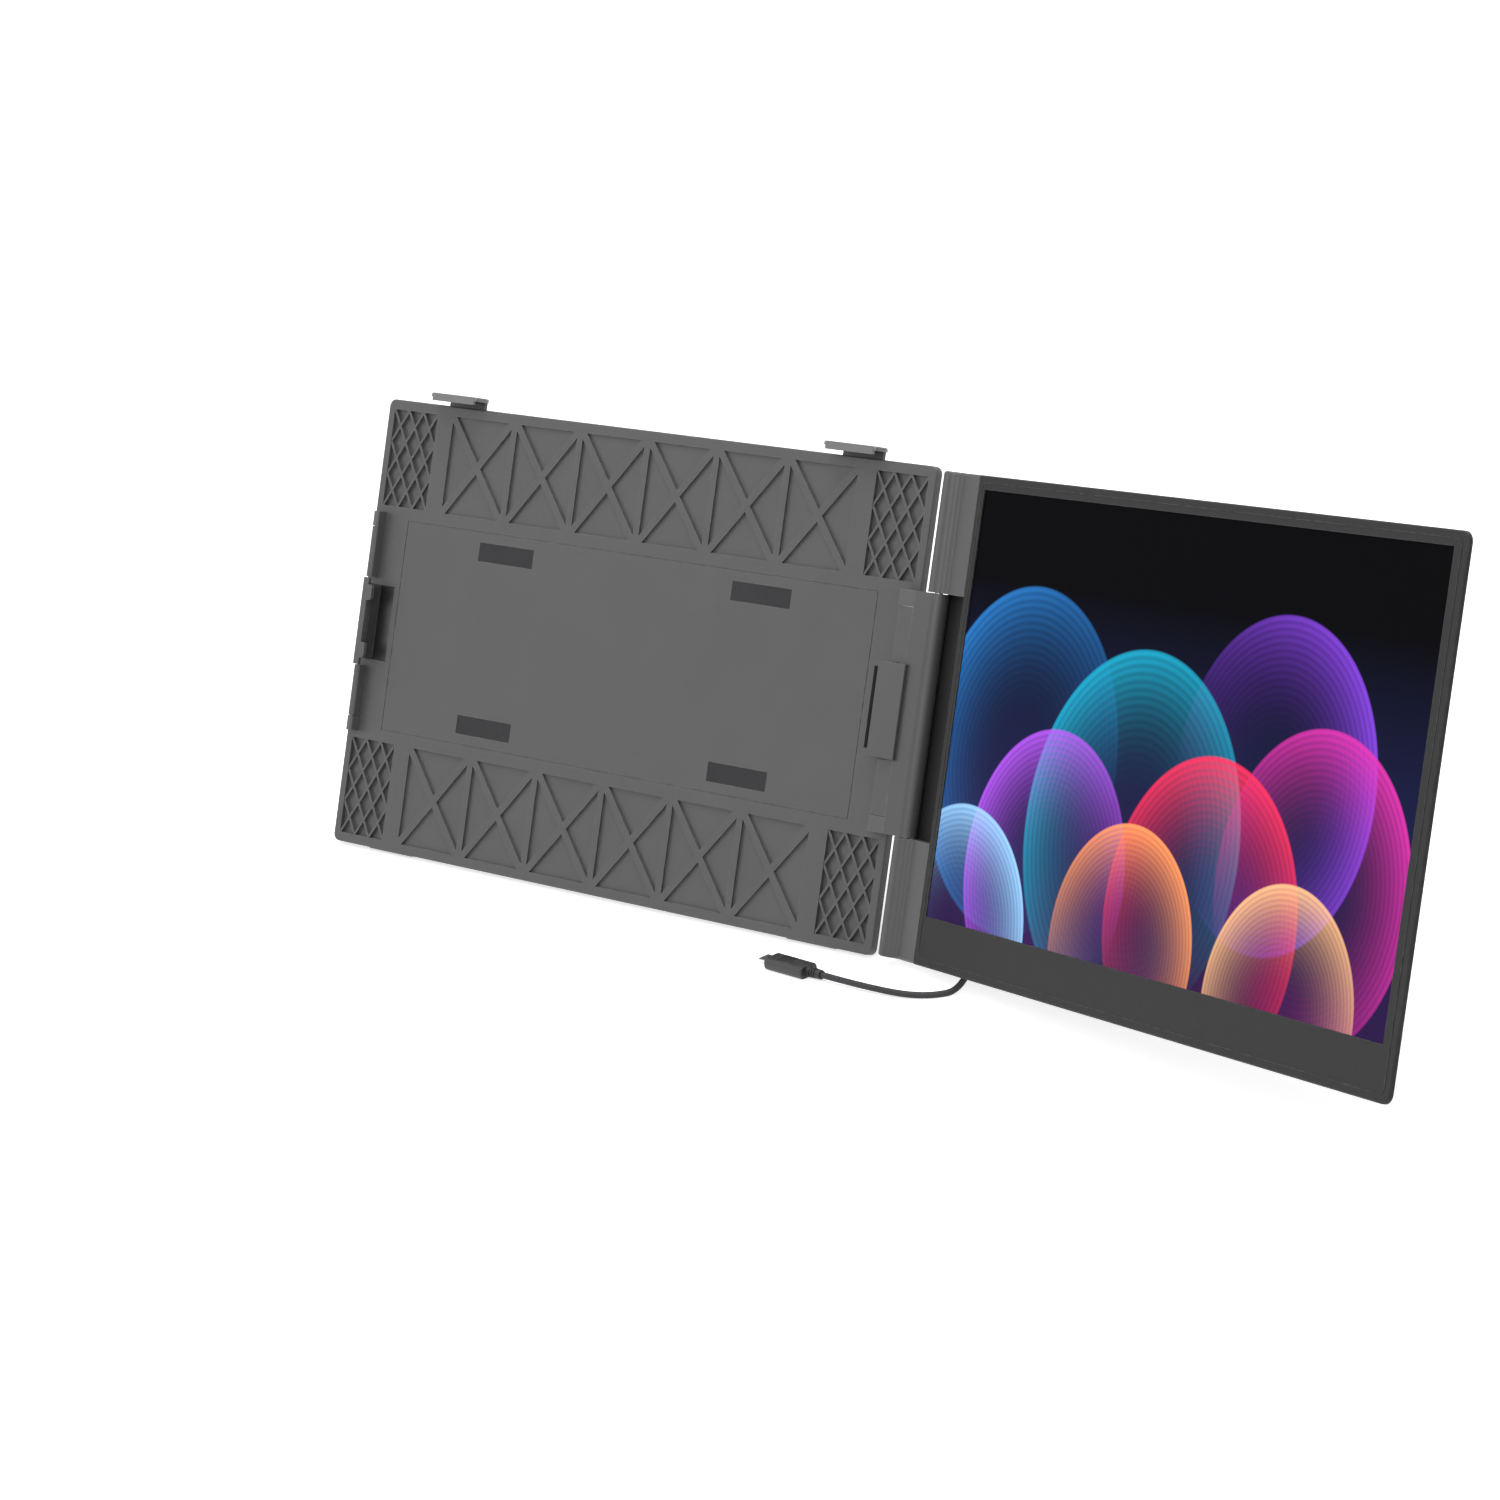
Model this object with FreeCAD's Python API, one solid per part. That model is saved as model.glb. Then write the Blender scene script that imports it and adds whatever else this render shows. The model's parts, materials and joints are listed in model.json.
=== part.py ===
import FreeCAD, Part
import math
import os

# Laptop screen extender, built upright and then leaned back as it stands in use.
# Upright axes: X along the lid, Y to the back, Z up. The origin is the centre of
# the frame's front face, where the back of a laptop lid lies. Lengths are in mm.

# Pose in use
LEAN = 20.33
SWING = 19.79

# The lid that the frame holds
LID_W = 360.0
LID_T = 6.0
LID_TOP = 119.5

# Frame plate
FRAME_W = 383.0
FRAME_TOP = 120.4
FRAME_BOTTOM = -120.2
FRAME_CORNER = 4.0
FRONT_T = 3.2
FRAME_T = 6.0
SKIN = 1.8
RIM = 4.5

# Plain centre band with the slides behind it
BAND_HALF = 59.5
LAND_HALF_W = 165.0
LAND_HALF = 56.0
GROOVE_W = 0.8
GROOVE_DEPTH = 0.3
HOUSING_DEPTH = 5.0
HOUSING_WALL = 1.5
HOUSING_HALF_W = 183.0

# Truss panels above and below the band
TRUSS_PITCH = 17.3
TRUSS_HALF_CELL = 5.5
TRUSS_CELLS = 3
TRUSS_START = 63.2
TRUSS_STRIP = 33.0
TRUSS_DEPTH = 2.2
TRUSS_RIB = 1.3
BAY_COUNT = 6
BAY_W = 48.0
BAY_RIB = 4.0
BAY_DEPTH = 1.4

# Side clamps
CLAMP_HALF = 23.5
CLAMP_PLATE_T = 1.9
CLAMP_REACH = 2.0
CLAMP_PLATE_W = 17.0
CLAMP_WALL = 4.4
CLAMP_PAD_T = 1.4
CLAMP_IN = 12.0
CLAMP_OUT = 3.0
SLIDE_L = 36.0
SLIDE_T = 2.0
SLIDE_HALF = 20.0
LUG_LOW = 11.4
LUG_HIGH = 19.8
LUG_REACH = 1.6

# Top hooks
HOOK_LEFT_X = -136.0
HOOK_RIGHT_X = 141.0
HOOK_BAR_W = 34.6
HOOK_BACK_R = 8.0
HOOK_FRONT_R = 2.0
HOOK_STEM_W = 26.0
HOOK_STEM_T = 1.8
HOOK_LIP_BOTTOM = 122.3
HOOK_TOP = 126.4
HOOK_STEM_BOTTOM = 66.0
HOOK_UP = 24.0
HOOK_DOWN = 3.7

# Hinge at the right of the frame
AXIS_X = 203.7
BARREL_R = 5.4
FLANGE_T = 3.0
FLANGE_START = 193.4
SOCKET_R = 3.6
SHAFT_R = 2.0
SHAFT_GAP = 0.05
KNUCKLE_GAP = 0.4
CREASE_R = 4.0
LEAF_T = 1.2
SOCKET_IN = 27.0
LEAF_NEAR = 66.0
LEAF_FAR = 102.0

# Screen, measured from the hinge axis along its own face
FACE = 0.2
SCREEN_LEFT = 23.2
SCREEN_RIGHT = 404.8
SCREEN_TOP = 118.9
SCREEN_BOTTOM = -118.4
SCREEN_BACK = 8.6
SIDE_DEPTH = 2.0
BEVEL = 12.0
SHELL = 1.4
BEZEL_T = 1.6
LIP_T = 0.7
ACTIVE_LEFT = 28.8
ACTIVE_RIGHT = 395.8
ACTIVE_BOTTOM = -94.3
ACTIVE_TOP = 112.1
PANEL_T = 1.2
LIGHT_T = 2.6
CHASSIS_T = 0.8
SHELF_LEFT = -1.0
SHELF_FRONT = BARREL_R + 0.2

# Raised hub on the screen's back
HUB_LEFT = 40.0
HUB_RIGHT = 150.0
HUB_BOTTOM = -72.0
HUB_TOP = -12.0
HUB_RISE = 7.2
HUB_WALL = 1.5
BOARD_RISE = 0.97
BOARD_T = 1.2
PORT_X = (57.0, 80.0)
VIDEO_X = 108.0
PORT_H = 3.26
PORT_W = 8.94
PORT_L = 7.3
BUTTON_X = (62.0, 80.0, 98.0)
BUTTON_Z = -34.0
BUTTON_R = 4.0
BUTTON_PROUD = 0.9
BUTTON_TRAVEL = 0.5
LAMP_X = 116.0

# Cord and plugs
CORD_R = 1.6
PLUG_L = 18.0
PLUG_W = 11.6
PLUG_T = 6.2
RELIEF_L = 11.0
SHELL_W = 8.3
SHELL_T = 2.5
SHELL_L = 6.6
FREE_PLUG_L = 25.5
FOOT_DROP = 0.6

# Small clearances
RUN = 0.2
SEAM = 0.3

AXIS_Y = BARREL_R - LID_T
HUB_BACK = SCREEN_BACK + HUB_RISE
BOARD_FRONT = SCREEN_BACK + BOARD_RISE
HALF_W = FRAME_W / 2.0
PORT_Y = BOARD_FRONT + BOARD_T + PORT_H / 2.0
FLOOR_BACK = 5.6
TABLE_Z = -FLOOR_BACK * math.sin(math.radians(LEAN)) + (
    (FRAME_BOTTOM - FOOT_DROP) * math.cos(math.radians(LEAN)))


def vec(x, y, z):
    return FreeCAD.Vector(x, y, z)


def box(x0, x1, y0, y1, z0, z1):
    return Part.makeBox(x1 - x0, y1 - y0, z1 - z0, vec(x0, y0, z0))


def rod(x, y, z0, z1, radius):
    return Part.makeCylinder(radius, z1 - z0, vec(x, y, z0), vec(0, 0, 1))


def pin_y(x, z, y0, y1, radius):
    return Part.makeCylinder(radius, y1 - y0, vec(x, y0, z), vec(0, 1, 0))


def fuse(shapes):
    whole = shapes[0]
    for shape in shapes[1:]:
        whole = whole.fuse(shape)
    return whole.removeSplitter()


def fillet_edges(shape, radius, wanted):
    edges = [e for e in shape.Edges if wanted(e)]
    return shape.makeFillet(radius, edges)


def along(edge, axis):
    a = edge.Vertexes[0].Point
    b = edge.Vertexes[-1].Point
    d = (b - a)
    if d.Length < 1e-6:
        return False
    d.normalize()
    return abs(abs(d[axis]) - 1.0) < 1e-6


def on_level(edge, axis, level):
    return all(abs(v.Point[axis] - level) < 1e-6 for v in edge.Vertexes)


def plate(x0, x1, y0, y1, z0, z1, radius):
    # Plate in the XZ plane with its four corners rounded
    blank = box(x0, x1, y0, y1, z0, z1)
    return fillet_edges(blank, radius, lambda e: along(e, 1))


def slanted_rib(xa, za, xb, zb, y0, y1, width):
    # Straight rib from one point to another in the XZ plane
    dx = xb - xa
    dz = zb - za
    length = math.hypot(dx, dz)
    rib = box(-width, length + width, y0, y1, -width / 2.0, width / 2.0)
    angle = math.degrees(math.atan2(dz, dx))
    rib.rotate(vec(0, 0, 0), vec(0, 1, 0), -angle)
    rib.translate(vec(xa, 0, za))
    return rib


def truss_strip(x_rim, side, z0):
    # Fine lattice beside the rim: a pocket less its crossing ribs
    x_in = x_rim - side * TRUSS_STRIP
    height = TRUSS_CELLS * TRUSS_PITCH
    low = min(x_rim, x_in)
    high = max(x_rim, x_in)
    pocket = box(low, high, -0.1, TRUSS_DEPTH, z0, z0 + height)
    slope = (TRUSS_PITCH / 2.0) / TRUSS_HALF_CELL
    rise = TRUSS_STRIP * slope
    ribs = []
    for k in range(-TRUSS_CELLS, 2 * TRUSS_CELLS + 1):
        za = z0 + k * TRUSS_PITCH
        ribs.append(slanted_rib(x_rim, za, x_in, za + rise, 0.3, TRUSS_DEPTH + 0.1, TRUSS_RIB))
        ribs.append(slanted_rib(x_rim, za, x_in, za - rise, 0.3, TRUSS_DEPTH + 0.1, TRUSS_RIB))
    lattice = ribs[0].multiFuse(ribs[1:])
    return pocket.cut(lattice)


def truss_bay(x_mid, z0):
    # Large bay with a diagonal cross
    height = TRUSS_CELLS * TRUSS_PITCH
    half = (BAY_W - BAY_RIB) / 2.0
    pocket = box(x_mid - half, x_mid + half, -0.1, BAY_DEPTH, z0, z0 + height)
    up = slanted_rib(x_mid - half, z0, x_mid + half, z0 + height, -0.2, BAY_DEPTH + 0.1, BAY_RIB)
    down = slanted_rib(x_mid - half, z0 + height, x_mid + half, z0, -0.2, BAY_DEPTH + 0.1, BAY_RIB)
    return pocket.cut(up.fuse(down))


def truss_pockets():
    height = TRUSS_CELLS * TRUSS_PITCH
    pockets = []
    for z0 in (TRUSS_START, -TRUSS_START - height):
        pockets.append(truss_strip(HALF_W - RIM, 1, z0))
        pockets.append(truss_strip(-HALF_W + RIM, -1, z0))
        for k in range(BAY_COUNT):
            pockets.append(truss_bay((k - (BAY_COUNT - 1) / 2.0) * BAY_W, z0))
    return pockets


def clamp_wall_x():
    # Inner and outer face of a clamp's wall, as distances from the middle
    inner = LID_W / 2.0 + RUN + CLAMP_PAD_T
    return inner, inner + CLAMP_WALL


def clamp_slot(side):
    inner, outer = clamp_wall_x()
    a = side * (inner - CLAMP_IN - SEAM)
    b = side * (outer + CLAMP_OUT + SEAM)
    return min(a, b), max(a, b)


def pad_spots():
    return [(x, z) for x in (-90.0, 90.0) for z in (-46.0, 46.0)]


def screw_spots():
    return [(x, z) for x in (-184.0, 184.0) for z in (-116.5, 117.0)] + [(x, z) for x in (-60.0, 60.0)
                                                                   for z in (-117.8, 117.9)]


def land_groove():
    # Fine groove round the flat land that the lid's back lies on
    w = GROOVE_W
    outer = box(-LAND_HALF_W - w, LAND_HALF_W + w, -0.1, GROOVE_DEPTH, -LAND_HALF - w, LAND_HALF + w)
    return outer.cut(box(-LAND_HALF_W, LAND_HALF_W, -0.2, GROOVE_DEPTH + 0.1, -LAND_HALF, LAND_HALF))


def frame_front_cover():
    cover = plate(-HALF_W, HALF_W, 0.0, FRONT_T, FRAME_BOTTOM, FRAME_TOP, FRAME_CORNER)
    cover = fillet_edges(cover, 0.8, lambda e: on_level(e, 1, 0.0))
    for pocket in truss_pockets():
        cover = cover.cut(pocket)
    room = HALF_W - 2.2
    cover = cover.cut(box(-room, room, SKIN, FRONT_T, -BAND_HALF + 4.0, BAND_HALF - 4.0))
    for side in (-1, 1):
        x0, x1 = clamp_slot(side)
        cover = cover.cut(box(x0, x1, -0.1, SKIN + 0.1, -SLIDE_HALF - SEAM, SLIDE_HALF + SEAM))
    cover = cover.cut(land_groove())
    for x, z in pad_spots():
        cover = cover.cut(box(x - 20.0, x + 20.0, -0.1, 0.6, z - 5.0, z + 5.0))
    for x, z in screw_spots():
        cover = cover.cut(pin_y(x, z, 2.4, FRONT_T + 0.1, 0.8))
    return cover


def frame_back_cover():
    cover = plate(-HALF_W, HALF_W, FRONT_T, FRAME_T, FRAME_BOTTOM, FRAME_TOP, FRAME_CORNER)
    edges = [e for e in cover.Edges if on_level(e, 1, FRAME_T)]
    cover = cover.makeChamfer(1.5, edges)
    back = FRAME_T + HOUSING_DEPTH
    half = BAND_HALF - 2.5
    hump = box(-HOUSING_HALF_W, HOUSING_HALF_W, FRAME_T - 0.5, back, -half, half)
    hump = hump.makeChamfer(2.0, [e for e in hump.Edges if on_level(e, 1, back)])
    cover = fuse([cover, hump])
    wall = HOUSING_WALL
    cover = cover.cut(box(-HALF_W + 2.2, HALF_W - 2.2, FRONT_T, FRONT_T + 1.2,
                          -half + wall, half - wall))
    cover = cover.cut(box(-HOUSING_HALF_W + wall + 1.5, HOUSING_HALF_W - wall - 1.5, FRONT_T,
                          back - wall, -half + wall, half - wall))
    for x in (HOOK_LEFT_X, HOOK_RIGHT_X):
        reach = HOOK_STEM_W / 2.0 + 0.1
        low = HOOK_STEM_BOTTOM - HOOK_DOWN - 2.0
        cover = cover.cut(box(x - reach, x + reach, FRONT_T, FRONT_T + HOOK_STEM_T + RUN,
                              low, FRAME_TOP + 1.0))
    for x, z in screw_spots():
        cover = cover.cut(pin_y(x, z, FRONT_T - 0.1, FRAME_T + 0.1, 1.0))
        cover = cover.cut(pin_y(x, z, FRAME_T - 1.3, FRAME_T + 0.1, 1.9))
    return cover


def frame_screws():
    screws = []
    for x, z in screw_spots():
        shank = pin_y(x, z, 2.4, FRAME_T - 1.2, 0.8)
        head = pin_y(x, z, FRAME_T - 1.3, FRAME_T - 0.2, 1.8)
        head = head.cut(box(x - 1.2, x + 1.2, FRAME_T - 0.7, FRAME_T, z - 0.2, z + 0.2))
        head = head.cut(box(x - 0.2, x + 0.2, FRAME_T - 0.7, FRAME_T, z - 1.2, z + 1.2))
        screws.append(fuse([shank, head]))
    return Part.makeCompound(screws)


def frame_stiffener():
    back = FRAME_T + HOUSING_DEPTH - HOUSING_WALL
    sheet = box(-120.0, 120.0, back - 1.0, back, -50.0, 50.0)
    for k in range(5):
        x = (k - 2) * 44.0
        sheet = sheet.cut(pin_y(x, 0.0, back - 1.1, back + 0.1, 12.0))
    return sheet


def lid_pads():
    return Part.makeCompound([box(x - 20.0, x + 20.0, 0.0, 0.6, z - 5.0, z + 5.0) for x, z in pad_spots()])


def frame_feet():
    feet = []
    for x in (-150.0, 150.0):
        foot = box(x - 16.0, x + 16.0, 3.4, FLOOR_BACK, FRAME_BOTTOM - FOOT_DROP, FRAME_BOTTOM)
        feet.append(foot)
    return Part.makeCompound(feet)


def notch(side):
    half = CLAMP_HALF + 0.5
    if side > 0:
        return box(LID_W / 2.0 + 2.8, 189.5, -LID_T - 0.1, 0.1, -half, half)
    return box(-HALF_W, -LID_W / 2.0 - 2.8, -LID_T - 0.1, 0.1, -half, half)


def raised_block(side):
    # Raised end of the band beside the lid; the tiles fill its two ends
    z1 = BAND_HALF - 8.3
    if side > 0:
        block = box(LID_W / 2.0 + 2.9, FLANGE_START, -LID_T, 0.0, -z1, z1)
        block = fillet_edges(block, 2.0, lambda e: along(e, 2) and on_level(e, 0, LID_W / 2.0 + 2.9)
                             and on_level(e, 1, -LID_T))
        for low in (SOCKET_IN, -z1 - 0.1):
            high = z1 + 0.1 if low > 0 else -SOCKET_IN
            block = block.cut(box(184.6, FLANGE_START + 0.1, -LID_T + FLANGE_T,
                                  -LID_T + FLANGE_T + LEAF_T, low, high))
    else:
        block = box(-187.0, -LID_W / 2.0 - 2.9, -LID_T, 0.0, -z1, z1)
        block = fillet_edges(block, 1.5, lambda e: along(e, 2) and on_level(e, 1, -LID_T))
    return block.cut(notch(side))


def end_tiles():
    tiles = []
    for low, high in ((BAND_HALF - 8.0, BAND_HALF), (-BAND_HALF, -BAND_HALF + 8.0)):
        right = box(LID_W / 2.0 + 2.9, FLANGE_START, -LID_T, 0.0, low, high)
        right = fillet_edges(right, 1.2, lambda e: along(e, 2) and on_level(e, 1, -LID_T)
                             and on_level(e, 0, LID_W / 2.0 + 2.9))
        right = right.cut(box(184.6, FLANGE_START + 0.1, -LID_T + FLANGE_T,
                              -LID_T + FLANGE_T + LEAF_T, -BAND_HALF - 1.0, BAND_HALF + 1.0))
        left = box(-187.0, -LID_W / 2.0 - 2.9, -LID_T, 0.0, low, high)
        left = fillet_edges(left, 1.2, lambda e: along(e, 2) and on_level(e, 1, -LID_T))
        tiles.extend([right, left])
    return Part.makeCompound(tiles)


def rail_x(side):
    inner, outer = clamp_wall_x()
    x0 = outer - SLIDE_L - CLAMP_IN - 3.0
    x1 = HALF_W - 2.4
    return (x0, x1) if side > 0 else (-x1, -x0)


def slide_rails():
    rails = []
    for side in (-1, 1):
        x0, x1 = rail_x(side)
        for low in (SLIDE_HALF + RUN, -SLIDE_HALF - RUN - 4.0):
            rails.append(box(x0, x1, SKIN, SKIN + SLIDE_T + 2.0 * RUN, low, low + 4.0))
    return Part.makeCompound(rails)


def slide_keepers():
    keepers = []
    y0 = SKIN + SLIDE_T + 2.0 * RUN
    for side in (-1, 1):
        x0, x1 = rail_x(side)
        if side > 0:
            x1 = HOUSING_HALF_W - HOUSING_WALL - 2.0
        else:
            x0 = -HOUSING_HALF_W + HOUSING_WALL + 2.0
        keeper = box(x0, x1, y0, y0 + 1.0, -24.0, 24.0)
        for z in (-22.2, 22.2):
            for x in (x0 + 5.0, x1 - 5.0):
                keeper = keeper.fuse(pin_y(x, z, y0 + 1.0, y0 + 1.8, 1.6))
        keepers.append(keeper)
    return Part.makeCompound(keepers)


def shoe_box(side):
    inner, outer = clamp_wall_x()
    x0 = outer - SLIDE_L + 10.0
    if side < 0:
        x0 = -x0 - 9.0
    return x0, x0 + 9.0


def clamp_screw_spots(side):
    inner, outer = clamp_wall_x()
    x = side * (inner + CLAMP_WALL / 2.0)
    return [(x, -12.0), (x, 12.0)]


def clamp_slide(side):
    inner, outer = clamp_wall_x()
    a = side * outer
    b = side * (outer - SLIDE_L)
    y0 = SKIN + RUN
    slide = box(min(a, b), max(a, b), y0, y0 + SLIDE_T, -SLIDE_HALF, SLIDE_HALF)
    x0, x1 = shoe_box(side)
    slide = slide.cut(box(x0, x1, y0 - 0.1, y0 + SLIDE_T + 0.1, -6.0, 6.0))
    for z in (-13.0, 13.0):
        slide = slide.cut(box(x0, x1, y0 - 0.1, y0 + SLIDE_T + 0.1, z - 3.0, z + 3.0))
    for x, z in clamp_screw_spots(side):
        slide = slide.cut(pin_y(x, z, y0 - 0.1, y0 + SLIDE_T + 0.1, 1.0))
        slide = slide.cut(pin_y(x, z, y0 + SLIDE_T - 0.9, y0 + SLIDE_T + 0.1, 1.8))
    return slide


def clamp_shoe(side):
    x0, x1 = shoe_box(side)
    y0 = SKIN + RUN
    return box(x0, x1, y0, y0 + SLIDE_T + RUN - 0.05, -6.0, 6.0)


def clamp_screws(side):
    y0 = SKIN + RUN
    screws = []
    for x, z in clamp_screw_spots(side):
        shank = pin_y(x, z, -3.0, y0 + SLIDE_T - 0.9, 0.95)
        head = pin_y(x, z, y0 + SLIDE_T - 0.9, y0 + SLIDE_T - 0.1, 1.75)
        screws.append(fuse([shank, head]))
    return Part.makeCompound(screws)


def clamp_jaw(side):
    inner, outer = clamp_wall_x()
    front = -LID_T - SEAM
    y_face = front - CLAMP_PLATE_T
    wall = box(inner, outer, front, SKIN + RUN, -SLIDE_HALF, SLIDE_HALF)
    if side > 0:
        x0 = LID_W / 2.0 - CLAMP_REACH
        face = box(x0, x0 + CLAMP_PLATE_W, y_face, front, -CLAMP_HALF, CLAMP_HALF)
        face = fillet_edges(face, 3.0, lambda e: along(e, 1) and on_level(e, 0, x0))
        face = fillet_edges(face, 0.6, lambda e: on_level(e, 1, y_face))
        jaw = fuse([face, wall])
    else:
        face = box(inner, outer - 0.6, y_face, front, -CLAMP_HALF, CLAMP_HALF)
        pieces = [face, wall]
        tip = LID_W / 2.0 - LUG_REACH
        for low, high in ((LUG_LOW, LUG_HIGH), (-LUG_HIGH, -LUG_LOW)):
            lug = box(tip, inner, y_face, front, low, high)
            lug = lug.makeChamfer(1.2, [e for e in lug.Edges if along(e, 1) and on_level(e, 0, tip)])
            pieces.append(lug)
        jaw = fuse(pieces)
        jaw = jaw.mirror(vec(0, 0, 0), vec(1, 0, 0))
    for x, z in clamp_screw_spots(side):
        jaw = jaw.cut(pin_y(x, z, -3.0, SKIN + RUN + 0.1, 1.0))
    return jaw


def clamp_pad(side):
    inner, outer = clamp_wall_x()
    a = side * (inner - CLAMP_PAD_T)
    b = side * inner
    return box(min(a, b), max(a, b), -LID_T + 0.1, -0.2, -SLIDE_HALF + 1.0, SLIDE_HALF - 1.0)


def hook_bar(x):
    # Bar that reaches over the lid, with a lip that hangs in front of it
    half = HOOK_BAR_W / 2.0
    low = HOOK_LIP_BOTTOM + 1.9
    slab = box(x - half, x + half, -LID_T - 2.2, FRONT_T + RUN / 2.0 + HOOK_STEM_T + 1.2, low, HOOK_TOP)
    back = FRONT_T + RUN / 2.0 + HOOK_STEM_T + 1.2
    slab = fillet_edges(slab, HOOK_BACK_R, lambda e: along(e, 2) and on_level(e, 1, back))
    slab = fillet_edges(slab, HOOK_FRONT_R, lambda e: along(e, 2) and on_level(e, 1, -LID_T - 2.2))
    slab = fillet_edges(slab, 1.1, lambda e: on_level(e, 2, HOOK_TOP))
    inset = half - HOOK_FRONT_R
    lip = box(x - inset, x + inset, -LID_T - 2.2, -LID_T - 0.5, HOOK_LIP_BOTTOM, low)
    bar = fuse([slab, lip])
    y0 = FRONT_T + RUN / 2.0
    reach = HOOK_STEM_W / 2.0
    return bar.cut(box(x - reach, x + reach, y0, y0 + HOOK_STEM_T, low - 0.1, low + 1.2))


def hook_stem(x):
    y0 = FRONT_T + RUN / 2.0
    reach = HOOK_STEM_W / 2.0
    top = HOOK_LIP_BOTTOM + 1.9 + 1.2
    stem = box(x - reach, x + reach, y0, y0 + HOOK_STEM_T, HOOK_STEM_BOTTOM, top)
    stem = stem.cut(box(x - 5.0, x + 5.0, y0 - 0.1, y0 + HOOK_STEM_T + 0.1, 72.0, 84.0))
    return stem


def hook_brake(x):
    y0 = FRONT_T + 0.05
    return box(x - 5.0, x + 5.0, y0, y0 + HOOK_STEM_T + RUN - 0.1, 72.0, 84.0)


def hook_pad(x):
    low = HOOK_LIP_BOTTOM + 1.9
    half = HOOK_BAR_W / 2.0 - 2.0
    return box(x - half, x + half, -LID_T + 0.4, -0.4, low - 0.8, low)


def knuckle_center():
    barrel = rod(AXIS_X, AXIS_Y, -BAND_HALF, BAND_HALF, BARREL_R)
    flange = box(FLANGE_START, AXIS_X, -LID_T, -LID_T + FLANGE_T, -BAND_HALF, BAND_HALF)
    cover = fuse([barrel, flange])
    cover = cover.cut(rod(AXIS_X, AXIS_Y, -BAND_HALF - 0.1, BAND_HALF + 0.1, SOCKET_R))
    y0 = -LID_T + FLANGE_T
    for low, high in ((SOCKET_IN, BAND_HALF - 2.5), (-BAND_HALF + 2.5, -SOCKET_IN)):
        cover = cover.cut(box(AXIS_X - BARREL_R - 1.0, AXIS_X - 2.0, y0, y0 + LEAF_T, low, high))
    return cover


def hinge_socket(side):
    # Friction sleeve and its steel leaf in the frame's knuckle
    a = side * SOCKET_IN
    b = side * BAND_HALF
    low = min(a, b)
    high = max(a, b)
    sleeve = rod(AXIS_X, AXIS_Y, low, high, SOCKET_R - 0.02)
    y0 = -LID_T + FLANGE_T
    c = side * (BAND_HALF - 2.5)
    leaf = box(184.6, AXIS_X - 2.2, y0, y0 + LEAF_T, min(a, c), max(a, c))
    socket = fuse([sleeve, leaf])
    return socket.cut(rod(AXIS_X, AXIS_Y, low - 0.1, high + 0.1, SHAFT_R + SHAFT_GAP))


def knuckle_outer(side):
    # One of the screen's two knuckles, in the screen's own flat position
    z_in = BAND_HALF + KNUCKLE_GAP
    z_out = SCREEN_TOP if side > 0 else -SCREEN_BOTTOM
    barrel = rod(0, 0, z_in, z_out, BARREL_R)
    flange = box(0.0, SCREEN_LEFT, -FACE, SHELF_FRONT, z_in, z_out)
    cover = fuse([barrel, flange])
    crease = math.sqrt(BARREL_R ** 2 - FACE ** 2)
    cover = fillet_edges(cover, CREASE_R, lambda e: along(e, 2) and on_level(e, 1, -FACE)
                         and on_level(e, 0, crease))
    cover = fillet_edges(cover, 1.3, lambda e: on_level(e, 2, z_out)
                         and not on_level(e, 1, SHELF_FRONT) and not on_level(e, 0, SCREEN_LEFT))
    end = LEAF_FAR + 4.0
    cover = cover.cut(rod(0, 0, LEAF_NEAR - 4.0, end, SOCKET_R))
    cover = cover.cut(rod(0, 0, z_in - 0.1, LEAF_NEAR, SHAFT_R + 0.3))
    cover = cover.cut(box(0.0, SCREEN_LEFT + 0.1, 1.4, 5.1, LEAF_NEAR - 0.5, LEAF_FAR + 0.5))
    if side < 0:
        cover = cover.mirror(vec(0, 0, 0), vec(0, 0, 1))
    return cover


def hinge_leaf(side):
    tube = rod(0, 0, LEAF_NEAR - 4.0, LEAF_FAR + 4.0, SOCKET_R)
    leaf = box(0.0, SCREEN_LEFT - 1.2, 3.1, 3.1 + LEAF_T, LEAF_NEAR, LEAF_FAR)
    part = fuse([tube, leaf])
    part = part.cut(rod(0, 0, LEAF_NEAR - 5.0, LEAF_FAR + 5.0, SHAFT_R))
    if side < 0:
        part = part.mirror(vec(0, 0, 0), vec(0, 0, 1))
    return part


def hinge_shaft(side):
    shaft = rod(0, 0, SOCKET_IN + 1.0, LEAF_FAR + 4.0, SHAFT_R)
    if side < 0:
        shaft = shaft.mirror(vec(0, 0, 0), vec(0, 0, 1))
    return shaft


def rounded_wire(x0, x1, z0, z1, y, radius):
    # Outline in the XZ plane with its two right corners rounded
    h = radius * math.sqrt(0.5)
    a = vec(x0, y, z0)
    b = vec(x1 - radius, y, z0)
    c = vec(x1, y, z0 + radius)
    d = vec(x1, y, z1 - radius)
    e = vec(x1 - radius, y, z1)
    f = vec(x0, y, z1)
    low = Part.Arc(b, vec(x1 - radius + h, y, z0 + radius - h), c).toShape()
    high = Part.Arc(d, vec(x1 - radius + h, y, z1 - radius + h), e).toShape()
    edges = [Part.makeLine(a, b), low, Part.makeLine(c, d), high, Part.makeLine(e, f), Part.makeLine(f, a)]
    return Part.Wire(edges)


def tapered_body(x0, x1, z0, z1, y0, y1, y2, bevel, radius):
    # Straight edge from y0 to y1, then a bevel on three sides to y2
    wall = Part.Face(rounded_wire(x0, x1, z0, z1, y0, radius)).extrude(vec(0, y1 - y0, 0))
    near = rounded_wire(x0, x1, z0, z1, y1, radius)
    far = rounded_wire(x0, x1 - bevel, z0 + bevel, z1 - bevel, y2, radius)
    return fuse([wall, Part.makeLoft([near, far], True, True)])


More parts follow.
